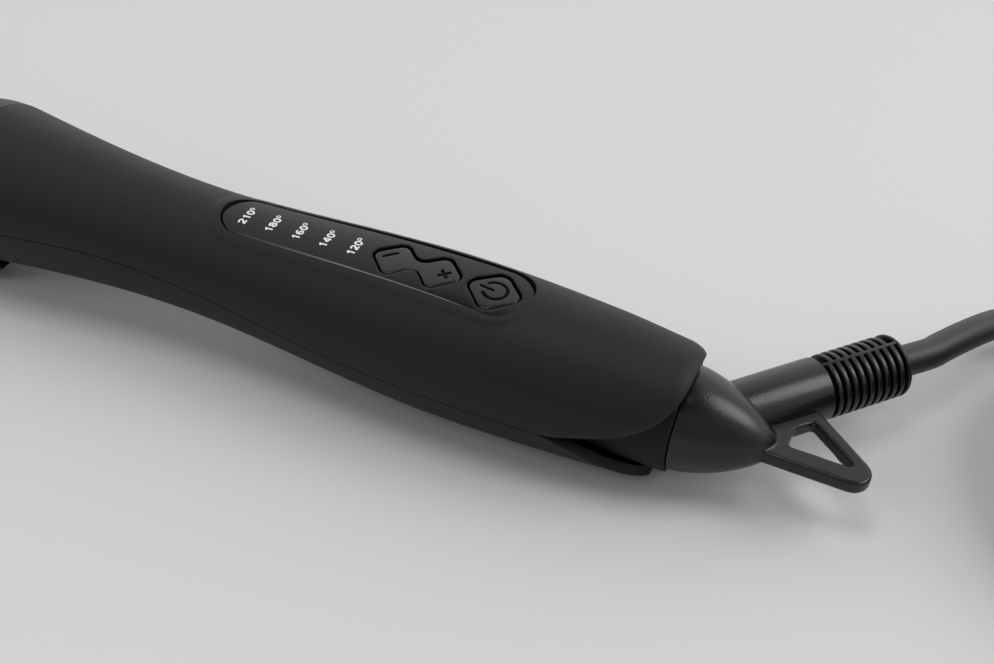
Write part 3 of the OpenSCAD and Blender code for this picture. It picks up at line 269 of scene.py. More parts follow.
def loft(rows, around=True, ends=True):
    count = len(rows[0])
    faces = []
    for i in range(len(rows) - 1):
        for j in range(count if around else count - 1):
            a, b = i * count + j, i * count + (j + 1) % count
            faces.append((a, b, b + count, a + count))
    if ends:
        last = (len(rows) - 1) * count
        faces += [tuple(range(count)), tuple(range(last, last + count))]
    return [p for row in rows for p in row], faces


def aboutAxis(u, radius, angle):
    # A point at a radius from the axis; angle is 0 at the top
    return u, radius * math.sin(angle), radius * math.cos(angle)


facets = dict(small=48, middle=72, large=96, finest=128)


def turned(profile, segments=facets["large"], place=wandPlace):
    # A turned piece from (u, radius) pairs, with a number of facets; a radius of 0 is a pole
    points, rings, faces = [], [], []
    for u, radius in profile:
        count = 1 if radius < 1e-6 else segments
        rings.append(list(range(len(points), len(points) + count)))
        points += [aboutAxis(u, radius, 2 * math.pi * j / segments) for j in range(count)]
    pairs = list(zip(rings, rings[1:]))
    if len(rings[0]) > 1:
        pairs.append((rings[-1], rings[0]))
    for first, second in pairs:
        for j in range(segments):
            quad = [ring[k % len(ring)] for ring, k in (
                (first, j), (first, (j + 1) % segments), (second, (j + 1) % segments), (second, j))]
            face = list(dict.fromkeys(quad))
            if len(face) > 2:
                faces.append(face)
    return solid(points, faces, place)


def arc(x, y, across, up, start=0, end=360, count=None):
    # Points on a round or oval arc, about one for each 12 degrees where no count is given
    count = count or max(6, round(abs(end - start) / 12))
    angles = [math.radians(start + (end - start) * k / count) for k in range(count + 1)]
    return [(x + across * math.cos(a), y + up * math.sin(a)) for a in angles]


def rounded(corners, steps=5, closed=True):
    # Outline with each corner, given as (x, y, radius), turned into an arc
    out = []
    count = len(corners)
    for k, (x, y, radius) in enumerate(corners):
        here = Vector((x, y))
        if radius <= 0 or (not closed and k in (0, count - 1)):
            out.append((x, y))
            continue
        back = (Vector(corners[k - 1][:2]) - here).normalized()
        on = (Vector(corners[(k + 1) % count][:2]) - here).normalized()
        half = math.acos(clamp(back.dot(on), -1, 1)) / 2
        if half > math.radians(89.5):
            out.append((x, y))
            continue
        middle = here + (back + on).normalized() * radius / math.sin(half)
        start = here + back * radius / math.tan(half) - middle
        end = here + on * radius / math.tan(half) - middle
        turn = start.angle_signed(end)
        for s in range(steps + 1):
            a = -turn * s / steps
            out.append((middle.x + start.x * math.cos(a) - start.y * math.sin(a),
                        middle.y + start.x * math.sin(a) + start.y * math.cos(a)))
    return out


def extruded(outline, low, high, place=wandPlace, bevel=None):
    # Prism of an (x, y) outline between two heights
    return solid(*loft([[(x, y, z) for x, y in outline] for z in (low, high)]), place, bevel)


def joined(*meshes):
    out = bpy.data.meshes.new("mesh")
    with editing(out) as work:
        for mesh in meshes:
            work.from_mesh(mesh)
            bpy.data.meshes.remove(mesh)
    return out


def applied(mesh, *modifiers):
    # Runs modifiers, each (type, settings), on a mesh and returns the finished mesh
    carrier = bpy.data.objects.new("carrier", mesh)
    scene.collection.objects.link(carrier)
    extras = []
    for kind, settings in modifiers:
        modifier = carrier.modifiers.new(kind, kind)
        for key, value in settings.items():
            if isinstance(value, bpy.types.Mesh):
                value = bpy.data.objects.new("tool", value)
                scene.collection.objects.link(value)
                extras.append(value)
            if hasattr(modifier, key):
                setattr(modifier, key, value)
            else:
                modifier[key] = value    # an input of a node tree, by its socket's identifier
    bpy.context.view_layer.update()
    result = bpy.data.meshes.new_from_object(carrier.evaluated_get(bpy.context.evaluated_depsgraph_get()))
    carrier.modifiers.clear()
    for thing in [carrier] + extras:
        data = thing.data
        bpy.data.objects.remove(thing)
        bpy.data.meshes.remove(data)
    return result


def cut(mesh, tool, operation="DIFFERENCE"):
    return applied(mesh, ("BOOLEAN", dict(object=tool, operation=operation, solver="EXACT")))


def piece(name, mesh, body, material, nodes=(), angle=40):
    mesh.name = name
    mesh.materials.clear()
    mesh.materials.append(material)
    mesh.polygons.foreach_set("material_index", [0] * len(mesh.polygons))
    mesh.shade_smooth()
    mesh.set_sharp_from_angle(angle=math.radians(angle))
    made = bpy.data.objects.new(name, mesh)
    scene.collection.objects.link(made)
    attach(made, body)
    if nodes:
        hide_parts(*nodes)
    return made


# The cord: the free lead, the wound coil and the tail, in millimetres in the world frame
strap = dict(thickness=1.2, width=12.0, corner=2.2, edge=0.25, under=0.2, inside=1.2, outside=0.4, over=0.3)
cord = dict(
    diameter=6.1, facets=5, swell=0.12, swellEnd=70.0, coilRadius=33.5, coilPitch=6.7, turnsInLayer=2.5,
    climbTurns=0.5, layers=4, leftOff=0.514, coilCentre=(260.5, 34.9), coilStart=95.0, climbBow=1.0,
    stepsPerTurn=48, nudge=0.01,
    lead=[(194.2, 42.1, 12.6), (196.1, 45.5, 12.3), (198, 49, 11.9), (200, 52.6, 11.4), (202, 56.2, 10.8),
          (204.1, 59.9, 10), (206.4, 63.4, 9.1), (209.3, 66.5, 8.1), (212.5, 69.1, 7.1), (216.2, 71.2, 6.2),
          (220.1, 72.8, 5.5), (224.2, 73.7, 5), (228.1, 74.2, 4.7), (232, 74.5, 4.5), (238, 75, 4.45),
          (243.9, 75.5, 4.45)],
    tail=[(261.4, 74.3, 24.6), (269, 75.9, 24.6), (276.4, 77.3, 24.1), (284.1, 77.5, 22.6),
          (291.7, 76.1, 20.5), (298.7, 73.3, 17.9), (305.1, 69, 15.1), (310.6, 63.5, 12.3), (314.8, 57, 9.9),
          (317.6, 49.8, 8), (318.9, 42.5, 7)],
    plugEntry=(319.0, 34.7, 6.85), tailHeading=270.0,
)
cordRadius = cord["diameter"] / 2
cordFloor = strap["thickness"] + strap["under"] + cordRadius
coilHalf = cord["turnsInLayer"] * cord["coilPitch"] / 2
coilOut, coilIn = cord["coilRadius"] + coilHalf, cord["coilRadius"] - coilHalf
coilTurns = (cord["layers"] * cord["turnsInLayer"] + (cord["layers"] - 1) * cord["climbTurns"]
             - cord["leftOff"])


def coilPoint(t):
    block = cord["turnsInLayer"] + cord["climbTurns"]
    layer = min(math.floor(t / block), cord["layers"] - 1)
    done = t - layer * block
    climb = clamp((done - cord["turnsInLayer"]) / cord["climbTurns"])
    start, end, bow = (coilIn, coilOut, 1) if layer % 2 else (coilOut, coilIn, -1)
    radius = between(start, end, min(done / cord["turnsInLayer"], 1))
    radius += bow * cord["climbBow"] * math.sin(math.pi * climb)
    a = math.radians(cord["coilStart"] - 360 * t)
    return Vector((cord["coilCentre"][0] + radius * math.cos(a), cord["coilCentre"][1] + radius * math.sin(a),
                   cordFloor + cord["coilPitch"] * (layer + (1 - math.cos(math.pi * climb)) / 2)))


def eased(points, cuts=3):
    # Smooth line through given points
    points = [Vector(p) for p in points]
    ends = [points[0] * 2 - points[1]] + points + [points[-1] * 2 - points[-2]]
    out = []
    for k in range(1, len(ends) - 2):
        a, b, c, d = ends[k - 1:k + 3]
        for s in range(cuts):
            t = s / cuts
            out.append(0.5 * (2 * b + (c - a) * t + (2 * a - 5 * b + 4 * c - d) * t * t
                              + (3 * b - a - 3 * c + d) * t**3))
    return out + [points[-1]]


toMillimetres = Matrix.Scale(1 / mm, 4)
cordStart = toMillimetres @ (reliefPlace @ Vector((reliefEnd, 0, 0)))
cordHeading = (toMillimetres @ reliefPlace @ Vector((reliefEnd + 1, 0, 0)) - cordStart).normalized()
coilFirst, coilLast = coilPoint(0), coilPoint(coilTurns)
coilFirstWay = (coilPoint(cord["nudge"]) - coilFirst).normalized()
coilLastWay = (coilLast - coilPoint(coilTurns - cord["nudge"])).normalized()
leadLine = eased([cordStart, cordStart + cordHeading * cord["diameter"] / 4] + cord["lead"]
                 + [coilFirst - coilFirstWay * cord["diameter"], coilFirst])
coilSteps = round(coilTurns * cord["stepsPerTurn"])
coilLine = [coilPoint(coilTurns * k / coilSteps) for k in range(1, coilSteps)]
tailLine = eased([coilLast, coilLast + coilLastWay * cord["diameter"]] + cord["tail"] + [cord["plugEntry"]])
cordLine = leadLine + coilLine + tailLine
cordLength = sum((b - a).length for a, b in zip(cordLine, cordLine[1:]))
cordCurve = bpy.data.curves.new("cord", "CURVE")
cordCurve.dimensions = "3D"
cordCurve.bevel_depth = cordRadius * mm
cordCurve.bevel_resolution = cord["facets"]
cordCurve.use_fill_caps = True
spline = cordCurve.splines.new("POLY")
spline.points.add(len(cordLine) - 1)
for point, at in zip(spline.points, cordLine):
    point.co = (*(at * mm), 1)
    point.radius = 1 + cord["swell"] * ease(2 - 2 * (at - cordStart).length / cord["swellEnd"])
cordCurve.materials.append(cordRubber)
cordPiece = bpy.data.objects.new("cord", cordCurve)
scene.collection.objects.link(cordPiece)
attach(cordPiece, "swivel")
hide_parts("cord_lead", "cord_coil", "cord_tail")
print("cord laid:", round(cordLength), "mm")


# Strap round the coil
def strapMesh():
    thick, half, edge, corner = strap["thickness"], strap["width"] / 2, strap["edge"], strap["corner"]
    inner, outer = coilIn - cordRadius - strap["inside"], coilOut + cordRadius + strap["outside"]
    low, high = thick, cordFloor + cord["coilPitch"] * (cord["layers"] - 1) + cordRadius + strap["over"]
    rows = []
    for grow, side in ((0.0, edge - half), (edge, -half), (thick - edge, -half), (thick, edge - half),
                       (thick, half - edge), (thick - edge, half), (edge, half), (0.0, half - edge)):
        box = [(inner - grow, low - grow), (outer + grow, low - grow), (outer + grow, high + grow),
               (inner - grow, high + grow)]
        rows.append([(x, side, z) for x, z in rounded([(x, z, corner + grow) for x, z in box], 8)])
    place = (worldPlace @ Matrix.Translation((*cord["coilCentre"], 0))
             @ Matrix.Rotation(math.radians(cord["coilStart"] - 90), 4, "Z"))
    return solid(*loft(rows + [rows[0]], ends=False), place)


strapPiece = piece("coil_strap", strapMesh(), "swivel", strapRubber, ["coil_tie"], 50)

# The plug: a lofted body with a ribbed neck
plug = dict(width=35.0, widestAt=0.7, thickness=13.7, thickestAt=0.55, backThickness=11.0, length=32.0,
            endRound=1.6, neckLength=11.0, neckRadius=5.2, neckFlare=0.6, neckCore=0.95, neckSink=2.0,
            squareness=(2.2, 5.2), squareAt=0.6, stations=20, sides=64, endSteps=5, chamfer=(0.5, 0.55),
            ribs=5, ribPitch=1.9, ribWidth=1.0, ribDepth=0.9, firstRib=0.9)
plugPlace = (worldPlace @ Matrix.Translation(cord["plugEntry"])
             @ Matrix.Rotation(math.radians(cord["tailHeading"]), 4, "Z"))


def plugBody():
    neck, curl, core = plug["neckLength"], plug["endRound"], plug["neckRadius"] - plug["neckCore"]
    narrow, straight = plug["neckRadius"] + plug["neckFlare"], plug["length"] - plug["endRound"]
    rows = []
    for k in range(plug["stations"] + 1):
        t = k / plug["stations"]
        halfWidth = between(narrow, plug["width"] / 2, math.sin(math.pi / 2 * min(t / plug["widestAt"], 1)))
        halfThick = between(plug["backThickness"], plug["thickness"], ease(t / plug["thickestAt"])) / 2
        power = 2 / between(*plug["squareness"], ease(t / plug["squareAt"]))
        angles = [2 * math.pi * j / plug["sides"] for j in range(plug["sides"])]
        rows.append([(neck + t * straight, halfWidth * math.copysign(abs(math.cos(a)) ** power, math.cos(a)),
                      halfThick * math.copysign(abs(math.sin(a)) ** power, math.sin(a))) for a in angles])
    last = rows[-1]
    for k in range(1, plug["endSteps"] + 1):      # rounded over to the pins' face
        a = math.pi / 2 * k / plug["endSteps"]
        shrink, u = curl * (1 - math.cos(a)), neck + straight + curl * math.sin(a)
        rows.append([(u, *(v - math.copysign(min(shrink, abs(v)), v) for v in (y, z))) for _, y, z in last])
    inside, (along, down) = neck + plug["neckSink"], plug["chamfer"]
    tube = turned([(0, 0), (0, core - down), (along, core), (inside, core), (inside, 0)], facets["small"],
                  plugPlace)
    return joined(solid(*loft(rows), plugPlace), tube)


ribForm = dict(stepsRound=56, corner=0.24, cornerPoints=3)


def ribRow(name, place, count, pitch, width, radius, depth, sweep=360.0, turn=0.0):
    # Geometry Nodes: rounded ribs, each an arc about the X axis, set along a line
    tree = bpy.data.node_groups.new(name, "GeometryNodeTree")
    tree.interface.new_socket("Geometry", in_out="OUTPUT", socket_type="NodeSocketGeometry")
    sizes = dict(Count=count, Pitch=pitch, Width=width, Radius=radius, Depth=depth, Sweep=sweep, Turn=turn)
    settings = dict(node_group=tree)
    for label, value in sizes.items():
        kind = "NodeSocketInt" if label == "Count" else "NodeSocketFloat"
        settings[tree.interface.new_socket(label, in_out="INPUT", socket_type=kind).identifier] = value
    given = addNode(tree, "NodeGroupInput").outputs

    def maths(operation, a, b=0.0):
        return addNode(tree, "ShaderNodeMath", {0: a, 1: b}, operation=operation).outputs[0]

    halfDepth = maths("MULTIPLY", given["Depth"], 0.5)
    step = addNode(tree, "ShaderNodeCombineXYZ", {"X": given["Pitch"]}).outputs[0]
    line = addNode(tree, "GeometryNodeMeshLine", {"Count": given["Count"], "Offset": step}, mode="OFFSET")
    track = addNode(tree, "GeometryNodeCurveArc", {
        "Resolution": ribForm["stepsRound"], "Radius": maths("SUBTRACT", given["Radius"], halfDepth),
        "Sweep Angle": maths("RADIANS", given["Sweep"]), "Start Angle": maths("RADIANS", given["Turn"]),
    }, mode="RADIUS")
    upright = addNode(tree, "GeometryNodeTransform", {
        "Geometry": track.outputs["Curve"], "Rotation": (math.pi / 2, 0, math.pi / 2)})
    shape = addNode(tree, "GeometryNodeCurvePrimitiveQuadrilateral", {
        "Width": given["Width"], "Height": given["Depth"]})
    soften = addNode(tree, "GeometryNodeFilletCurve", {
        "Curve": shape.outputs["Curve"], "Radius": maths("MULTIPLY", given["Width"], ribForm["corner"]),
        "Count": ribForm["cornerPoints"],
    }, mode="POLY")
    rib = addNode(tree, "GeometryNodeCurveToMesh", {
        "Curve": upright.outputs["Geometry"], "Profile Curve": soften.outputs["Curve"],
        "Fill Caps": sweep < 360})
    copies = addNode(tree, "GeometryNodeInstanceOnPoints", {
        "Points": line.outputs["Mesh"], "Instance": rib.outputs["Mesh"]})
    real = addNode(tree, "GeometryNodeRealizeInstances", {"Geometry": copies.outputs["Instances"]})
    paint = addNode(tree, "GeometryNodeSetMaterial", {
        "Geometry": real.outputs["Geometry"], "Material": satinBlack})
    addNode(tree, "NodeGroupOutput", {"Geometry": paint.outputs["Geometry"]})
    mesh = applied(bpy.data.meshes.new(name), ("NODES", settings))
    mesh.transform(place)
    with editing(mesh) as work:
        merged(work)
        bmesh.ops.recalc_face_normals(work, faces=work.faces)
    return mesh


plugRibs = ribRow("plug_ribs", plugPlace @ Matrix.Translation((plug["firstRib"], 0, 0)), plug["ribs"],
                  plug["ribPitch"], plug["ribWidth"], plug["neckRadius"], plug["ribDepth"])
plugPiece = piece("plug_shell", joined(plugBody(), plugRibs), "swivel", plugRubber, ["plug_body"])
print("plug made")


# Strain relief: a smooth stub, a slimmer core under two staggered half rows of ribs, and a rounded end
def reliefSleeve():
    radius, core = relief["radius"], relief["radius"] - relief["grooveDepth"]
    first, last = relief["plain"], grooveEnd
    bore, outer, inner = cordRadius + relief["air"], relief["edgeRound"], relief["coreRound"]
    profile = rounded([
        (relief["start"], bore, 0), (relief["start"], radius, 0), (first, radius, outer),
        (first, core, inner), (last, core, inner), (last, radius, outer),
        (reliefEnd, radius, relief["endRound"]), (reliefEnd, bore, 0)])
    pieces = [turned(profile, place=reliefPlace)]
    rib, web = relief["pitch"] - relief["grooveWidth"], relief["web"]
    for shift, count, turn in ((0.0, relief["grooves"] - 1, 90.0),
                               (relief["pitch"] / 2, relief["grooves"] - 2, 270.0)):
        place = reliefPlace @ Matrix.Translation((first + relief["grooveWidth"] + shift + rib / 2, 0, 0))
        pieces.append(ribRow("relief_ribs", place, count, relief["pitch"], rib, radius,
                             relief["grooveDepth"] + relief["sink"], 180.0 - web, turn + web / 2))
    for side in (90, 270):
        ends = side - web * 3 / 4, side + web * 3 / 4
        outline = (arc(0, 0, radius, radius, *ends, 6)
                   + arc(0, 0, core - relief["sink"], core - relief["sink"], *ends[::-1], 6))
        reaches = first - relief["webSpare"], last + relief["webSpare"]
        rows = [[(u, y, z) for y, z in outline] for u in reaches]
        pieces.append(solid(*loft(rows), reliefPlace, (relief["webRound"], 2, 50)))
    return joined(*pieces)


reliefPiece = piece("relief_sleeve", reliefSleeve(), "swivel", satinBlack, ["strain_relief"])
print("strain relief made")

# Swivel cap: a pointed dome with the hanging loop grown out of it
loop = dict(thickness=3.0, low=-3.7, corner=3.6, arm=4.2, cross=2.6, crossAngle=140.5, crossRound=0.5,
            reliefSink=1.0, holeGap=1.4, holeRound=0.9, holeSmall=0.7, reliefGap=1.9, rootAt=4.0,
            anchor=8.0, edge=0.9, faceSpare=1.5, domeRows=32, voxel=0.28, smooth=0.5, smoothTimes=5)



def loopOutlines():
    # The loop seen from above: its low arm, and a cross arm back to the strain relief
    heading, angle = math.radians(relief["heading"]), math.radians(loop["crossAngle"])
    out = Vector((math.sin(heading), -math.cos(heading)))
    along, away = Vector((math.cos(angle), math.sin(angle))), Vector((math.sin(angle), -math.cos(angle)))
    farCentre = Vector((capEnd + loopReach - loop["corner"], loop["low"] + loop["corner"]))
    origin = Vector((reliefAt, 0))

    def crossing(fromRelief, fromFar):
        start = farCentre + away * fromFar
        return start + along * ((fromRelief - (start - origin).dot(out)) / along.dot(out))

    holeLow, holeFront = loop["low"] + loop["arm"], capEnd + loop["holeGap"]
    holeOut = relief["radius"] + loop["reliefGap"]
    top = crossing(holeOut, loop["corner"] - loop["cross"])
    right = farCentre + away * (loop["corner"] - loop["cross"])
    right += along * ((holeLow - right.y) / along.y)
    leftHigh = ((holeFront - reliefAt) * out.x - holeOut) / -out.y
    inside = crossing(relief["radius"] - loop["reliefSink"], loop["corner"])
    anchor = origin + Vector((math.cos(heading), math.sin(heading))) * loop["anchor"]
    lowRight = farCentre.x + loop["corner"] / math.tan((math.pi - angle) / 2)
    outer = [(capAt + loop["rootAt"], loop["low"], 0), (lowRight, loop["low"], loop["corner"]),
             (inside.x, inside.y, loop["crossRound"]), (anchor.x, anchor.y, 0)]
    small = loop["holeRound"] * loop["holeSmall"]
    hole = [(holeFront, holeLow, loop["holeRound"]), (right.x, right.y, small), (top.x, top.y, small),
            (holeFront, leftHigh, small)]
    return rounded(outer, 10), rounded(hole, 6)


def capMesh():
    # The dome starts a little in front of its face, which is cut clean once the forms are blended
    power, radius, spare = swivel["capRoundness"], swivel["capRadius"], capAt - loop["faceSpare"]
    rows = [(spare, 0), (spare, radius)]
    for k in range(loop["domeRows"] + 1):
        t = math.sin(math.pi / 2 * k / loop["domeRows"])
        rows.append((capAt + swivel["capLength"] * t, radius * (1 - t ** power) ** (1 / power)))
    outer, hole = loopOutlines()
    half = loop["thickness"] / 2
    ear = cut(extruded(outer, -half, half, swivelPlace, (loop["edge"], 3, 60)),
              extruded(hole, -half - 1, half + 1, swivelPlace))
    blended = applied(joined(turned(rows, place=swivelPlace), ear),
                      ("REMESH", dict(mode="VOXEL", voxel_size=loop["voxel"] * mm)),
                      ("SMOOTH", dict(factor=loop["smooth"], iterations=loop["smoothTimes"])))
    with editing(blended) as work:
        bmesh.ops.bisect_plane(work, geom=work.verts[:] + work.edges[:] + work.faces[:],
                               plane_co=swivelPlace @ Vector((capAt, 0, 0)),
                               plane_no=(swivelPlace.to_3x3() @ Vector((1, 0, 0))).normalized(),
                               clear_inner=True)
        bmesh.ops.holes_fill(work, edges=[e for e in work.edges if e.is_boundary])
        bmesh.ops.recalc_face_normals(work, faces=work.faces)
    return blended


piece("swivel_cap_and_loop", capMesh(), "swivel", satinBlack, ["swivel_cap"], 50)
print("swivel cap made")

# Neck: round and plain, with a lip in the mouth of the shells and a thick face under the cap. Its finish is
# darker than the shells' as painted shade of the mouth.
lipEnd, faceAt = neckAt + swivel["lipLength"], neckEnd - swivel["faceWall"]
lipRadius, neckRadius, neckBore = swivel["lipRadius"], swivel["neckRadius"], swivel["boreRadius"]
lipRound, innerRound = swivel["lipRound"], swivel["innerRound"]
neckProfile = rounded([
    (neckAt, neckBore, 0), (neckAt, lipRadius, lipRound), (lipEnd, lipRadius, lipRound),
    (lipEnd, neckRadius, innerRound), (neckEnd, neckRadius, swivel["faceRound"]),
    (neckEnd, swivel["faceBore"], innerRound), (faceAt, swivel["faceBore"], 0), (faceAt, neckBore, 0)], 4)
piece("neck_sleeve", turned(neckProfile, facets["finest"], swivelPlace), "handle", neckMattShadeBlack,
      ["swivel_neck"])

# Handle shells
panel = dict(at=62.9, length=72.1, frontRadius=5.9, rearRadius=7.45, seat=11.3, rise=1.83, gap=0.25, tray=1.4,
             trayCover=1.1, cutHeight=12.0, clear=0.05, crown=0.62, inset=-0.22, rearDip=0.35,
             rearDipBy=55.0, edge=0.24, step=0.7, rimLow=0.85, rimProud=0.02, rimThick=0.08,
             borderLift=0.28, borderFront=3.0, borderRear=2.2, borderSlope=1.3, borderSpread=1.4)
panelPlace = (wandPlace @ Matrix.Translation((panel["at"], 0, panel["seat"]))
              @ Matrix.Rotation(-math.radians(panel["rise"]), 4, "Y"))
riseSin, riseCos = math.sin(math.radians(panel["rise"])), math.cos(math.radians(panel["rise"]))


def panelTaper(p):
    # The share of the way along the panel, and the centre of its round and its half width there
    first, last = panel["frontRadius"], panel["length"] - panel["rearRadius"]
    t = clamp((p - first) / (last - first))
    return t, between(first, last, t), between(panel["frontRadius"], panel["rearRadius"], t)


def shellRadius(u, angle):
    # Outside of the shells: the turned form, with a raised border round the panel; angle is 0 at the top
    radius = gripRadius(u)
    if abs(angle) < panel["borderSpread"]:
        p = u - panel["at"]
        t, centre, half = panelTaper(p)
        away = math.hypot(p - centre, radius * math.sin(angle)) - half
        reach = between(panel["borderFront"], panel["borderRear"], t)
        radius += panel["borderLift"] * ease((reach - away) / panel["borderSlope"])
    fallFrom = grip["rearFallFrom"]
    return radius - grip["rearFall"] * ease((u - fallFrom) / (grip["length"] - fallFrom))


def rimFall(u, angle):
    # How far the top shell's edge over the mouth is drawn in
    along = max(u - mouthAt, 0) / grip["mouthLength"]
    if along == 0:
        return 0.0
    top, power = grip["mouthTop"], grip["mouthRoundness"]
    down = max(top - gripRadius(u) * math.cos(angle), 0) / (top - grip["partingLow"])
    edge = (along ** power + down ** power) ** (1 / power)
    near = clamp(1 - (1 - edge) * grip["rimSpan"] / grip["rimReach"])
    return (grip["rimFall"] * (1 - math.sqrt(1 - grip["rimTurn"] * near ** 2))
            * ease(along * grip["rimStart"]))


def mouthHeight(u):
    # Lower edge of the top shell over the open mouth
    power = grip["mouthRoundness"]
    fall = (1 - clamp((u - mouthAt) / grip["mouthLength"]) ** power) ** (1 / power)
    return grip["mouthTop"] - (grip["mouthTop"] - grip["partingLow"]) * fall


def tongueHeight(u):
    # Upper edge of the bottom shell, which slopes down under the open mouth
    if u <= mouthAt:
        return partingHeight(u) - grip["seam"] / 2
    fall = grip["rearRadius"] - grip["tongueEnd"] + grip["partingLow"]
    return (grip["partingLow"] - grip["seam"] / 2
            - fall * ((u - mouthAt) / grip["tongueLength"]) ** grip["tongueCurve"])


def spaced(start, end, step):
    # Stations from the start up to the end, which is left to the next stretch
    count = max(1, round((end - start) / step))
    return [start + (end - start) * k / count for k in range(count)]


def fan(middle, spread, columns):
    # Angles across a row of the skin, from one side of its middle to the other
    return [middle + spread * (2 * j / columns - 1) for j in range(columns + 1)]


# Each stretch is a start, an end and a step. The top skin's rows stand close together where the raised border
# and the mouth's edge are.
tongueEnd = mouthAt + grip["tongueLength"]
skin = dict(
    topStretches=((0, 2, 0.5), (2, 57, 2.5), (57, 141, 0.6), (141, mouthAt, 1)), mouthAngles=(0, 88, 3),
    bottomStretches=((0, 2, 0.5), (2, mouthAt, 2), (mouthAt, tongueEnd, 0.8)), topColumns=110,
    bottomColumns=80, nearlyAll=0.9995, endSpare=0.02,
)


def topSkin():
    stations = [u for stretch in skin["topStretches"] for u in spaced(*stretch)]
    stations += [mouthAt + grip["mouthLength"] * math.sin(math.radians(a))
                 for a in range(*skin["mouthAngles"])]
    stations.append(mouthAt + grip["mouthLength"] * skin["nearlyAll"])
    rows = []
    for u in stations:
        low = partingHeight(u) + grip["seam"] / 2 if u < mouthAt else mouthHeight(u)
        spread = math.acos(clamp(low / gripRadius(u), -1, skin["nearlyAll"]))
        rows.append([aboutAxis(u, shellRadius(u, a) - rimFall(u, a), a)
                     for a in fan(0, spread, skin["topColumns"])])
    return solid(*loft(rows, around=False, ends=False))


def bottomSkin():
    stations = [u for stretch in skin["bottomStretches"] for u in spaced(*stretch)]
    rows = []
    for u in stations + [tongueEnd - skin["endSpare"]]:
        spread = math.pi - math.acos(clamp(tongueHeight(u) / gripRadius(u), -skin["nearlyAll"], 1))
        rows.append([aboutAxis(u, gripRadius(u), a) for a in fan(math.pi, spread, skin["bottomColumns"])])
    return solid(*loft(rows, around=False, ends=False))


def walled(skin, wall, edge):
    # An open skin's faces are turned away from the axis before it gets its thickness
    back = wandPlace.inverted()
    with editing(skin) as work:
        work.faces.ensure_lookup_table()
        face = work.faces[len(work.faces) // 2]
        middle = back @ face.calc_center_median()
        if (back.to_3x3() @ face.normal).dot(Vector((0, middle.y, middle.z))) < 0:
            bmesh.ops.reverse_faces(work, faces=work.faces)
    return applied(skin, ("SOLIDIFY", dict(thickness=wall * mm, offset=-1, use_even_offset=True)),
                   ("BEVEL", dict(width=edge * mm, segments=3, limit_method="ANGLE",
                                  angle_limit=math.radians(50))))


def panelOutline(grow):
    # Round the front end, back along one side, round the rear end, and forward along the other side
    front, rear, straight = panel["frontRadius"], panel["rearRadius"], 40
    ends = [arc(front, 0, front + grow, front + grow, 90, 270, 24),
            arc(panel["length"] - rear, 0, rear + grow, rear + grow, -90, 90, 24)]
    points = []
    for end, other in (ends, ends[::-1]):
        (x, y), (toX, toY) = end[-1], other[0]
        points += end + [(x + (toX - x) * k / straight, y + (toY - y) * k / straight)
                         for k in range(1, straight)]
    return points


def seatHeight(p, q, depth):
    # Height over the panel's seat of the shell's round, taken in by a depth
    radius = gripRadius(panel["at"] + p) - depth
    return (math.sqrt(max(radius**2 - q**2, 0)) - panel["seat"] - p * riseSin) / riseCos


def topShell():
    shell = walled(topSkin(), grip["topWall"], grip["rimRound"])
    block = panelOutline(panel["gap"] + panel["tray"])
    tray = solid(*loft([[(p, q, -panel["tray"]) for p, q in block],
                        [(p, q, seatHeight(p, q, panel["trayCover"])) for p, q in block]]), panelPlace)
    opening = extruded(panelOutline(panel["gap"]), 0, panel["cutHeight"], panelPlace)
    return cut(cut(shell, tray, "UNION"), opening)


piece("top_shell_skin", topShell(), "handle", softTouch, ["top_shell"], 38)
print("top shell made")

rest = dict(hingeAt=6.0, hingeHeight=2.15, knuckle=1.85, width=18.0, air=0.3, ear=2.7, earRear=3.6,
            earFoot=(0.86, 0.88), earRise=2.0, chin=(1.0, 0.82), brow=(0.9, 1.7), earTop=3.1, earRound=0.3,
            plateRound=0.3, padRound=0.35)
hingeW = (rest["hingeHeight"] - wandZ - rest["hingeAt"] * math.sin(tilt)) / math.cos(tilt)
screws = dict(places=((25.0, 9.0, -6.0), (25.0, -9.0, -6.0), (139.0, 0.0, -8.0)), access=2.8, shank=1.5,
              post=4.2, postTop=-2.6, inWall=1.0, holeFrom=-30.0, holeTo=5.0)


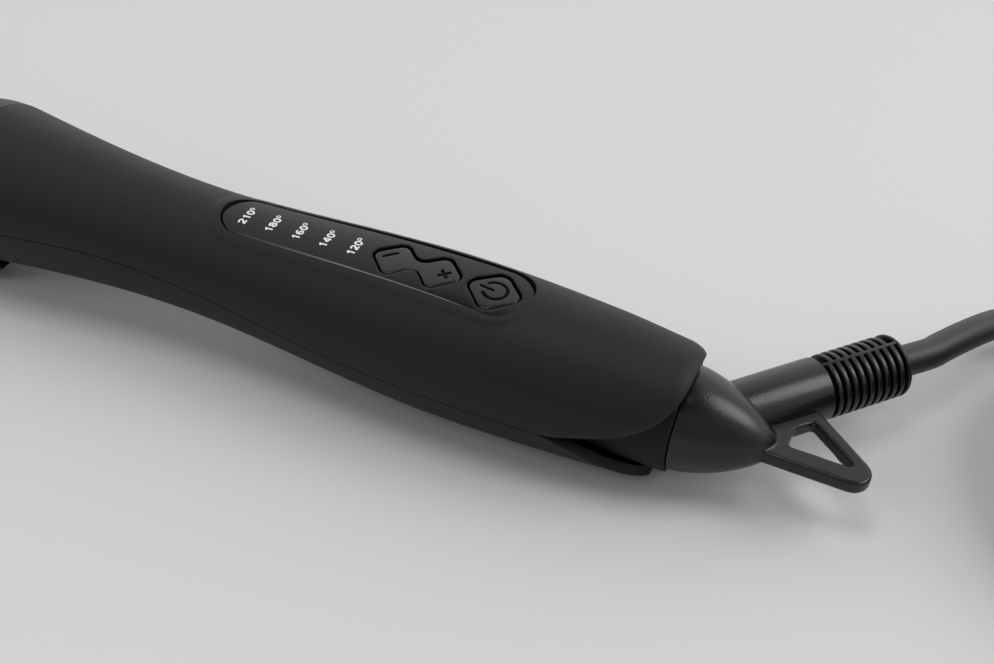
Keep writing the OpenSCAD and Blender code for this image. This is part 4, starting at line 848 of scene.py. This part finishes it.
def bottomShell():
    shell = walled(bottomSkin(), grip["wall"], grip["seamRound"])
    core = [(10, 0)] + [(u, gripRadius(u) - screws["inWall"]) for u in range(10, 156, 5)] + [(155, 0)]
    post, shank, access = screws["post"], screws["shank"], screws["access"]
    for u, y, seat in screws["places"]:
        foot = screws["inWall"] - math.sqrt(gripRadius(u) ** 2 - y**2)
        at = wandPlace @ Matrix.Translation((u, y, 0)) @ Matrix.Rotation(-math.pi / 2, 4, "Y")
        boss = turned([(foot, 0), (foot, post), (screws["postTop"], post), (screws["postTop"], 0)],
                      facets["small"], at)
        shell = cut(shell, cut(boss, turned(core, facets["middle"]), "INTERSECT"), "UNION")
        shell = cut(shell, turned([
            (screws["holeFrom"], 0), (screws["holeFrom"], access), (seat, access), (seat, shank),
            (screws["holeTo"], shank), (screws["holeTo"], 0)], facets["small"], at))
    front, reach, knuckle = grip["frontRadius"], rest["hingeAt"], rest["knuckle"]
    (frontFoot, rearFoot), (chin, chinDrop), (brow, browRise) = rest["earFoot"], rest["chin"], rest["brow"]
    side = [(0.0, -front * frontFoot), (rest["earRear"], -front * rearFoot),
            (rest["earRear"], rest["earRise"] - front), (chin - reach, hingeW - knuckle * chinDrop)]
    side += arc(-reach, hingeW, knuckle, knuckle, 250, 150, 4)
    side += [(-reach - brow, hingeW + browRise), (0.0, hingeW + rest["earTop"])]
    ears = []
    for way in (-1, 1):
        near = way * (rest["width"] / 2 + rest["air"])
        rows = [[(x, y, z) for x, z in side] for y in (near, near + way * rest["ear"])]
        ears.append(solid(*loft(rows), wandPlace, (rest["earRound"], 2, 40)))
    return joined(shell, *ears)


piece("bottom_shell_skin", bottomShell(), "handle", softTouch, ["bottom_shell"], 38)
print("bottom shell made")

# Collar, barrel and cool tip
collar = dict(air=0.3, lipLength=1.2, lipDrop=0.6, bulge=0.3, flareAt=0.7, spigotRadius=15.2, spigotEnd=3.5,
              snapRadius=15.7, snapEnd=5.2, hollowRadius=14.5, floorAt=-1.0, boreRound=0.3, lipRound=0.8,
              flareRound=6.0, rearRound=0.35)
flange = dict(start=-0.95, end=1.05, radius=14.2)
rootRadius, frontRadius, collarFront = barrel["rootRadius"], grip["frontRadius"], barrel["collarFront"]
collarFrom = -barrel["gap"] - barrel["collarLength"]
collarProfile = rounded([
    (collarFrom, rootRadius + collar["air"], collar["boreRound"]),
    (collarFrom, collarFront - collar["lipDrop"], collar["lipRound"]),
    (collarFrom + collar["lipLength"], collarFront, collar["lipRound"]),
    (collarFrom + barrel["collarLength"] * collar["flareAt"] / 2,
     (collarFront + frontRadius) / 2 + collar["bulge"], collar["flareRound"]),
    (collarFrom + barrel["collarLength"] * collar["flareAt"], frontRadius, collar["flareRound"]),
    (-barrel["gap"], frontRadius, collar["rearRound"]), (-barrel["gap"], collar["spigotRadius"], 0),
    (collar["spigotEnd"], collar["spigotRadius"], 0), (collar["spigotEnd"], collar["snapRadius"], 0),
    (collar["snapEnd"], collar["snapRadius"], 0), (collar["snapEnd"], collar["hollowRadius"], 0),
    (collar["floorAt"], collar["hollowRadius"], 0), (collar["floorAt"], rootRadius + collar["air"], 0)], 6)
piece("front_collar", turned(collarProfile, facets["finest"]), "handle", collarBlack, ["collar"])
barrelEnd = collarFrom - barrel["length"]
rootBore, endBore = rootRadius - barrel["wall"], barrel["endRadius"] - barrel["wall"]
barrelProfile = rounded([
    (barrelEnd, endBore, 0), (barrelEnd, barrel["endRadius"], barrel["endRound"]),
    (collarFrom, rootRadius, 0), (flange["start"], rootRadius, 0), (flange["start"], flange["radius"], 0),
    (flange["end"], flange["radius"], 0), (flange["end"], rootBore, 0), (collarFrom, rootBore, 0)], 4)
piece("barrel_tube", turned(barrelProfile, facets["finest"]), "handle", barrelCoat, ["barrel"])
tipBore, plugEnd = endBore - tip["air"], barrelEnd + tip["plug"]
noseAt, noseRadius = barrelEnd - tip["noseAt"], tip["radius"] * tip["nose"]
tipProfile = [(plugEnd, 0), (plugEnd, tipBore), (barrelEnd, tipBore)]
tipProfile += rounded([
    (barrelEnd, tipBore, 0), (barrelEnd, tip["radius"], tip["rearRound"]),
    (barrelEnd - tip["waistAt"], tip["radius"] - tip["waistDrop"], tip["waistRound"]),
    (noseAt, noseRadius, tip["noseRound"])], 6, closed=False)[1:]
tipProfile += arc(noseAt, 0, tip["length"] - tip["noseAt"], noseRadius, 90, 180, 16)[1:]
piece("cool_tip_cap", turned(tipProfile), "handle", tipBlack, ["cool_tip"])
print("barrel made")


# Flip-out rest and its pads: the plain solids with their edges rounded
def softened(node, width, segments):
    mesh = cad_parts[node].data.copy()
    with editing(mesh) as work:
        merged(work)
        bmesh.ops.dissolve_limit(work, angle_limit=math.radians(1.5), verts=work.verts, edges=work.edges)
        bevelled(work, width, segments, 40)
    return mesh


piece("rest_plate", softened("flip_rest", rest["plateRound"], 2), "rest", tipBlack, ["flip_rest"])
piece("rest_pad_pair", softened("rest_pads", rest["padRound"], 3), "rest", padRubber, ["rest_pads"])


# Panel and buttons: crowned plates with rounded rims
def mitre(first, second):
    # How far a corner between two headings moves while its sides move one unit to the left
    normal = Vector((-first.y - second.y, first.x + second.x)).normalized()
    return normal / max(math.sqrt((1 + first.dot(second)) / 2), 0.6)


def insetLoop(points, distance):
    # Moves each point of a counterclockwise outline inwards
    out = []
    for k in range(len(points)):
        a, b, c = (Vector(points[(k + step) % len(points)]) for step in (-1, 0, 1))
        out.append(tuple(b + mitre((b - a).normalized(), (c - b).normalized()) * distance))
    return out


def sides(points):
    return list(zip(points, points[1:] + points[:1]))


def area(points):
    return sum(a[0] * b[1] - b[0] * a[1] for a, b in sides(points)) / 2


def inside(points, x, y):
    odd = False
    for (x1, y1), (x2, y2) in sides(points):
        if (y1 > y) != (y2 > y) and x < (x2 - x1) * (y - y1) / (y2 - y1) + x1:
            odd = not odd
    return odd


def gridPoints(outlines, step):
    # Points of a square grid on the plate, clear of its outlines
    xs, ys = [p[0] for p in outlines[0]], [p[1] for p in outlines[0]]
    clear = (0.5 * step) ** 2
    x = min(xs) + step
    while x < max(xs):
        y = min(ys) + step
        while y < max(ys):
            if sum(inside(ring, x, y) for ring in outlines) == 1 and min(
                    (a[0] - x) ** 2 + (a[1] - y) ** 2 for ring in outlines for a in ring) > clear:
                yield x, y
            y += step
        x += step


def plate(outline, holes, low, height, rim, step, place, holeRim=0.08, sloped=False, rimSteps=4):
    # A plate with a crowned top: its holes have rounded rims, and so has its outer edge unless it is sloped
    loops = [outline if area(outline) > 0 else outline[::-1]]
    loops += [hole if area(hole) < 0 else hole[::-1] for hole in holes]
    points, faces, tops, bottoms = [], [], [], []
    for number, path in enumerate(loops):
        edge, flat = (holeRim, False) if number else (rim, sloped)
        rows = [[(x, y, low) for x, y in path]]
        for t in (k / rimSteps for k in range(rimSteps + 1)):
            inwards = t if flat else 1 - math.cos(math.pi / 2 * t)
            down = 1 - t if flat else 1 - math.sin(math.pi / 2 * t)
            rows.append([(x, y, height(x, y) - edge * down) for x, y in insetLoop(path, edge * inwards)])
        base, count = len(points), len(path)
        more, quads = loft(rows, ends=False)
        points += more
        faces += [tuple(base + k for k in quad) for quad in quads]
        bottoms.append(list(range(base, base + count)))
        tops.append([k + (rimSteps + 1) * count for k in bottoms[-1]])

    def cap(rings, crowned):
        owner = [k for ring in rings for k in ring]
        outlines = [[points[k][:2] for k in ring] for ring in rings]
        flat = [p for ring in outlines for p in ring]
        edges, start = [], 0
        for ring in rings:
            edges += [(start + k, start + (k + 1) % len(ring)) for k in range(len(ring))]
            start += len(ring)
        for x, y in gridPoints(outlines, step) if crowned else ():
            flat.append((x, y))
            owner.append(len(points))
            points.append((x, y, height(x, y)))
        places, _, triangles, sources, *_ = delaunay_2d_cdt([Vector(p) for p in flat], edges, [], 0, 1e-6)
        corners = []
        for at, source in zip(places, sources):
            corners.append(owner[source[0]] if source else len(points))
            if not source:
                points.append((*at, height(*at) if crowned else low))
        for triangle in triangles:
            x, y = (sum(places[k][axis] for k in triangle) / 3 for axis in (0, 1))
            if sum(inside(ring, x, y) for ring in outlines) == 1:
                faces.append(tuple(corners[k] for k in triangle))

    cap(tops, True)
    cap(bottoms, False)
    return solid(points, faces, place)


def panelHeight(p, q):
    # Top of the panel: flatter than the shell's round
    half = panelTaper(p)[2]
    radius = gripRadius(panel["at"] + p) - panel["inset"]
    top = math.sqrt(radius**2 - half**2) + panel["crown"] * (1 - min(abs(q) / half, 1) ** 2)
    return (top - panel["rearDip"] * ease(p / panel["rearDipBy"]) - panel["seat"] - p * riseSin) / riseCos


button = dict(rockerAt=46.6, across=-0.3, lobeAt=4.9, lobeSide=7.6, lobeCorner=1.6, waist=1.5,
              waistCorner=2.45, powerAt=64.0, powerSide=8.8, powerCorner=2.1, gap=0.5, inset=0.35, rise=0.75,
              under=0.9, rim=0.3, step=0.6, markDepth=0.3, markStep=0.4, floorGap=0.05, floorRim=0.1,
              floorStep=1.2, leastCorner=0.3)
marks = dict(width=0.74, reach=1.5, minus=(-1.7, 0.6), plus=(1.3, -0.3), corner=0.1, ringRadius=2.55,
             ringGap=38.0, barFrom=(-3.1, 0.15), barTo=(-0.4, -0.1))
slant = math.sqrt(0.5)


def rockerOutline(grow):
    at, reach = button["lobeAt"], button["lobeSide"] * slant + grow * math.sqrt(2)
    waist = button["waist"] + grow
    near = at - (reach - waist)
    tips, middle = button["lobeCorner"] + grow, max(button["waistCorner"] - grow, button["leastCorner"])
    half = [(near, waist, middle), (at, reach, tips), (at + reach, 0, tips), (at, -reach, tips),
            (near, -waist, middle)]
    points = rounded(half + [(-x, -y, r) for x, y, r in half], 7)
    return [(x + button["rockerAt"], y + button["across"]) for x, y in points]


def powerOutline(grow):
    reach = button["powerSide"] * slant + grow * math.sqrt(2)
    corner = button["powerCorner"] + grow
    points = rounded([(reach, 0, corner), (0, reach, corner), (-reach, 0, corner), (0, -reach, corner)], 8)
    return [(x + button["powerAt"], y + button["across"]) for x, y in points]


def dense(points, step):
    out = []
    for a, b in sides(points):
        cuts = max(1, math.ceil(math.dist(a, b) / step))
        out += [(a[0] + (b[0] - a[0]) * k / cuts, a[1] + (b[1] - a[1]) * k / cuts) for k in range(cuts)]
    return out


def stroke(a, b, width):
    # Outline of a short bar with round ends
    heading, half = math.degrees(math.atan2(b[1] - a[1], b[0] - a[0])), width / 2
    return (arc(*b, half, half, heading - 90, heading + 90, 6)
            + arc(*a, half, half, heading + 90, heading + 270, 6))


def ringStroke(centre, radius, low, high, width):
    # Outline of part of a ring with round ends; angles in degrees
    half, points = width / 2, []
    for reach, a, b, turn in ((radius + half, low, high, 0), (radius - half, high, low, 180)):
        end = arc(*centre, radius, radius, b, b, 1)[0]
        points += arc(*centre, reach, reach, a, b, 32)
        points += arc(*end, half, half, b + turn, b + turn + 180, 6)[1:-1]
    return points


panelHoles = [dense(outline(button["gap"]), panel["step"]) for outline in (rockerOutline, powerOutline)]
panelMesh = plate(panelOutline(0), panelHoles, panel["clear"], panelHeight, panel["edge"], panel["step"],
                  panelPlace, panel["edge"], True)
piece("panel_plate", panelMesh, "handle", panelGloss, ["control_panel"], 35)


def panelRim():
    # A polished slope on the panel's outer edge, which shows as a fine bright line
    edge, thick, outline = panel["edge"], panel["rimThick"], panelOutline(0)
    rows = []
    for inwards, down in ((0, edge * panel["rimLow"]), (edge, -panel["rimProud"]), (edge, thick),
                          (thick, edge + thick * 0.75)):
        rows.append([(x, y, panelHeight(x, y) - down) for x, y in insetLoop(outline, inwards)])
    return solid(*loft(rows + [rows[0]], ends=False), panelPlace)


piece("panel_rim", panelRim(), "handle", polishedEdge, angle=30)


def buttonHeight(p, q):
    return panelHeight(p, q) - button["inset"]


def buttonMeshes(outline, cuts):
    # The button's cap, with its marks sunk through the top layer onto a floor of nearly unreflecting black,
    # which is painted shade in the marks
    low, step = button["rise"], panel["step"]
    top = plate(dense(outline, step), [dense(mark, button["markStep"]) for mark in cuts],
                low + button["under"], buttonHeight, button["rim"], button["step"], panelPlace)
    ground = plate(dense(insetLoop(outline, button["floorGap"]), step), [], low,
                   lambda p, q: buttonHeight(p, q) - button["markDepth"], button["floorRim"],
                   button["floorStep"], panelPlace)
    return top, ground


def rockerMarks():
    # A minus and a plus, turned to follow the lobes' sides
    x, y = button["rockerAt"] - button["lobeAt"] + marks["minus"][0], marks["minus"][1]
    reach, arm = marks["reach"] * slant, marks["width"] / 2
    minus = stroke((x - reach, y - reach), (x + reach, y + reach), marks["width"])
    x, y, bar = button["rockerAt"] + button["lobeAt"] + marks["plus"][0], marks["plus"][1], marks["reach"]
    corners = ((arm, arm), (arm, bar), (-arm, bar), (-arm, arm), (-bar, arm), (-bar, -arm), (-arm, -arm),
               (-arm, -bar), (arm, -bar), (arm, -arm), (bar, -arm), (bar, arm))
    plus = rounded([(x + (p - q) * slant, y + (p + q) * slant, marks["corner"]) for p, q in corners], 2)
    return [minus, plus]


def powerMarks():
    at, half = button["powerAt"], 180 - marks["ringGap"]
    bar = [(at + x, y) for x, y in (marks["barFrom"], marks["barTo"])]
    return [ringStroke((at, 0), marks["ringRadius"], -half, half, marks["width"]),
            stroke(*bar, marks["width"])]


for name, outline, cuts in (("rocker", rockerOutline(0), rockerMarks()),
                            ("power", powerOutline(0), powerMarks())):
    top, ground = buttonMeshes(outline, cuts)
    piece(name + "_cap", top, name, buttonGloss, [name + "_button"], 35)
    piece(name + "_marks", ground, name, insideShadeBlack, angle=35)
print("panel and buttons made")

# Numbers on the panel: white digits and a degree ring, drawn as strokes and read from the near side
numbers = dict(values=("210", "180", "160", "140", "120"), first=5.75, pitch=6.64, height=1.8, width=1.4,
               advance=1.64, start=-3.2, weight=0.4, ring=0.4, ringWeight=0.24, lift=0.02, thick=0.05)

# Middle lines of the digits in a unit cell: the first value says whether a line closes on itself
digits = {
    "0": [(True, arc(0.5, 0.5, 0.39, 0.41))],
    "1": [(False, [(0.58, 0.0), (0.58, 1.0)]), (False, [(0.62, 0.93), (0.24, 0.68)])],
    "2": [(False, arc(0.49, 0.69, 0.37, 0.22, 165, -38) + [(0.14, 0.12)]),
          (False, [(0.08, 0.09), (0.92, 0.09)])],
    "4": [(False, [(0.72, 0.0), (0.72, 1.0)]), (False, [(0.68, 0.94), (0.1, 0.32)]),
          (False, [(0.04, 0.28), (0.96, 0.28)])],
    "6": [(True, arc(0.5, 0.31, 0.38, 0.22)), (False, arc(0.56, 0.46, 0.44, 0.45, 60, 190))],
    "8": [(True, arc(0.5, 0.72, 0.33, 0.19)), (True, arc(0.5, 0.28, 0.39, 0.2))],
}


def ribbon(points, width, closed):
    # A flat line of even width laid on the panel, from a middle line in (p, q)
    points = [Vector(p) for p in (points[:-1] if closed else points)]
    count = len(points)
    rows = []
    for k, point in enumerate(points):
        back = points[k - 1] if closed or k else point
        on = points[(k + 1) % count] if closed or k < count - 1 else point
        first = (point - back).normalized() if point != back else (on - point).normalized()
        second = (on - point).normalized() if on != point else first
        reach = mitre(first, second) * width / 2
        row = []
        for side, level in ((-1, 0), (1, 0), (1, numbers["thick"]), (-1, numbers["thick"])):
            at = point + reach * side
            row.append((at.x, at.y, panelHeight(at.x, at.y) + numbers["lift"] + level))
        rows.append(row)
    if closed:
        rows.append(rows[0])
    return solid(*loft(rows, ends=not closed), panelPlace)


def numberMesh(text, p):
    # The text runs across the panel, its top towards the barrel
    tall, wide, ring = numbers["height"], numbers["width"], numbers["ring"]
    lines = []
    for k, digit in enumerate(text):
        across = numbers["start"] + numbers["advance"] * k
        for closed, points in digits[digit]:
            placed = [(p + tall / 2 - tall * y, across + wide * x) for x, y in points]
            lines.append(ribbon(placed, numbers["weight"], closed))
    after = numbers["start"] + numbers["advance"] * len(text) + ring
    lines.append(ribbon(arc(p - tall / 2 + ring, after, ring, ring), numbers["ringWeight"], True))
    return joined(*lines)


numberRow = [numberMesh(value, numbers["first"] + numbers["pitch"] * k)
             for k, value in enumerate(numbers["values"])]
piece("panel_numbers", joined(*numberRow), "handle", printWhite, angle=30)
print("numbers laid")

# Pieces that stay as the frame gives them, each with its own finish
kept = dict(
    barrel_seat=bakedCeramic, heat_spreader_upper=aluminium, heat_spreader_lower=aluminium,
    ceramic_elements=elementGrey, mica_sheets=micaGold, heater_wires=wireSleeve, thermal_fuse=tinnedSteel,
    thermistor=amberBead, rocker_axle=tinnedSteel, circuit_board=boardGreen, board_screws=tinnedSteel,
    key_switches=switchGrey, indicator_leds=whitePlastic, light_frame=whitePlastic, controller_chip=chipBlack,
    triac=chipBlack, film_capacitor=filmYellow, varistor=varistorBlue, shell_screws=tinnedSteel,
    # the neck cover takes the black with painted shade
    neck_cover=insideShadeBlack, contact_brushes=brass, supply_wires=wireRed, swivel_spindle=spindleNylon,
    slip_rings=brass, inner_cord=cordRubber, rest_pin=tinnedSteel, plug_pins=pinPlate, pin_sleeves=pinSleeve,
)
for node, material in kept.items():
    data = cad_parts[node].data
    if not data.materials:
        data.materials.append(material)
    for k in range(len(data.materials)):
        data.materials[k] = material

# Floor, lights and surroundings. A ramp of the sky is an axis, its two ends and the strength at each; a box
# is its name, its place, what it points at, its two sides and its radiance.
studio = dict(
    floorColour=0.62, floorRoughness=0.9, floorSpecular=0.1, floorSize=6.0, skyColour=1.0,
    skyRamps=(("Y", -0.6, 0.4, 0.4, 1.15), ("Z", 0.76, 0.9, 1.0, 0.15)),
    boxes=(("right box", (1.05, 0.43, 1.05), (0.1, 0, 0), 0.7, 0.8, 4.2),
           ("near box", (-0.35, -0.65, 0.75), (0.05, 0, 0), 0.32, 0.32, 2.6),
           ("top box", (-0.1, -0.1, 1.4), (0.05, 0, 0), 0.6, 0.6, 4.0)),
)
floorMaterial = bpy.data.materials.new("table")
floorMaterial.use_nodes = True
floorTree = floorMaterial.node_tree
connect(floorTree, floorTree.nodes["Principled BSDF"], {
    "Base Color": (studio["floorColour"],) * 3 + (1,), "Roughness": studio["floorRoughness"],
    "Specular IOR Level": studio["floorSpecular"]})
half = studio["floorSize"] / 2
floorMesh = bpy.data.meshes.new("table")
corners = [(-half, -half, 0), (half, -half, 0), (half, half, 0), (-half, half, 0)]
floorMesh.from_pydata(corners, [], [(0, 1, 2, 3)])
floorMesh.materials.append(floorMaterial)
floor = bpy.data.objects.new("table", floorMesh)
scene.collection.objects.link(floor)

# Surroundings: bright low down and behind, dimmer in front and overhead
world = bpy.data.worlds.new("surroundings")
scene.world = world
world.use_nodes = True
sky = world.node_tree
parts = addNode(sky, "ShaderNodeSeparateXYZ", {
    "Vector": addNode(sky, "ShaderNodeTexCoord").outputs["Generated"]}).outputs
levels = []
for axis, low, high, atLow, atHigh in studio["skyRamps"]:
    ramp = addNode(sky, "ShaderNodeMapRange", {
        "Value": parts[axis], "From Min": low, "From Max": high, "To Min": atLow, "To Max": atHigh,
    }, interpolation_type="SMOOTHSTEP")
    levels.append(ramp.outputs["Result"])
strength = addNode(sky, "ShaderNodeMath", dict(enumerate(levels)), operation="MULTIPLY").outputs[0]
connect(sky, sky.nodes["Background"], {"Color": (studio["skyColour"],) * 3 + (1,), "Strength": strength})


def softBox(name, place, target, width, height, radiance):
    lamp = bpy.data.lights.new(name, "AREA")
    lamp.shape = "RECTANGLE"
    lamp.size, lamp.size_y, lamp.energy = width, height, radiance * math.pi * width * height
    holder = bpy.data.objects.new(name, lamp)
    scene.collection.objects.link(holder)
    holder.location = place
    holder.rotation_mode = "QUATERNION"
    holder.rotation_quaternion = (Vector(target) - Vector(place)).to_track_quat("-Z", "Y")


for box in studio["boxes"]:
    softBox(*box)
scene.view_settings.view_transform = "Standard"
print("stage set")
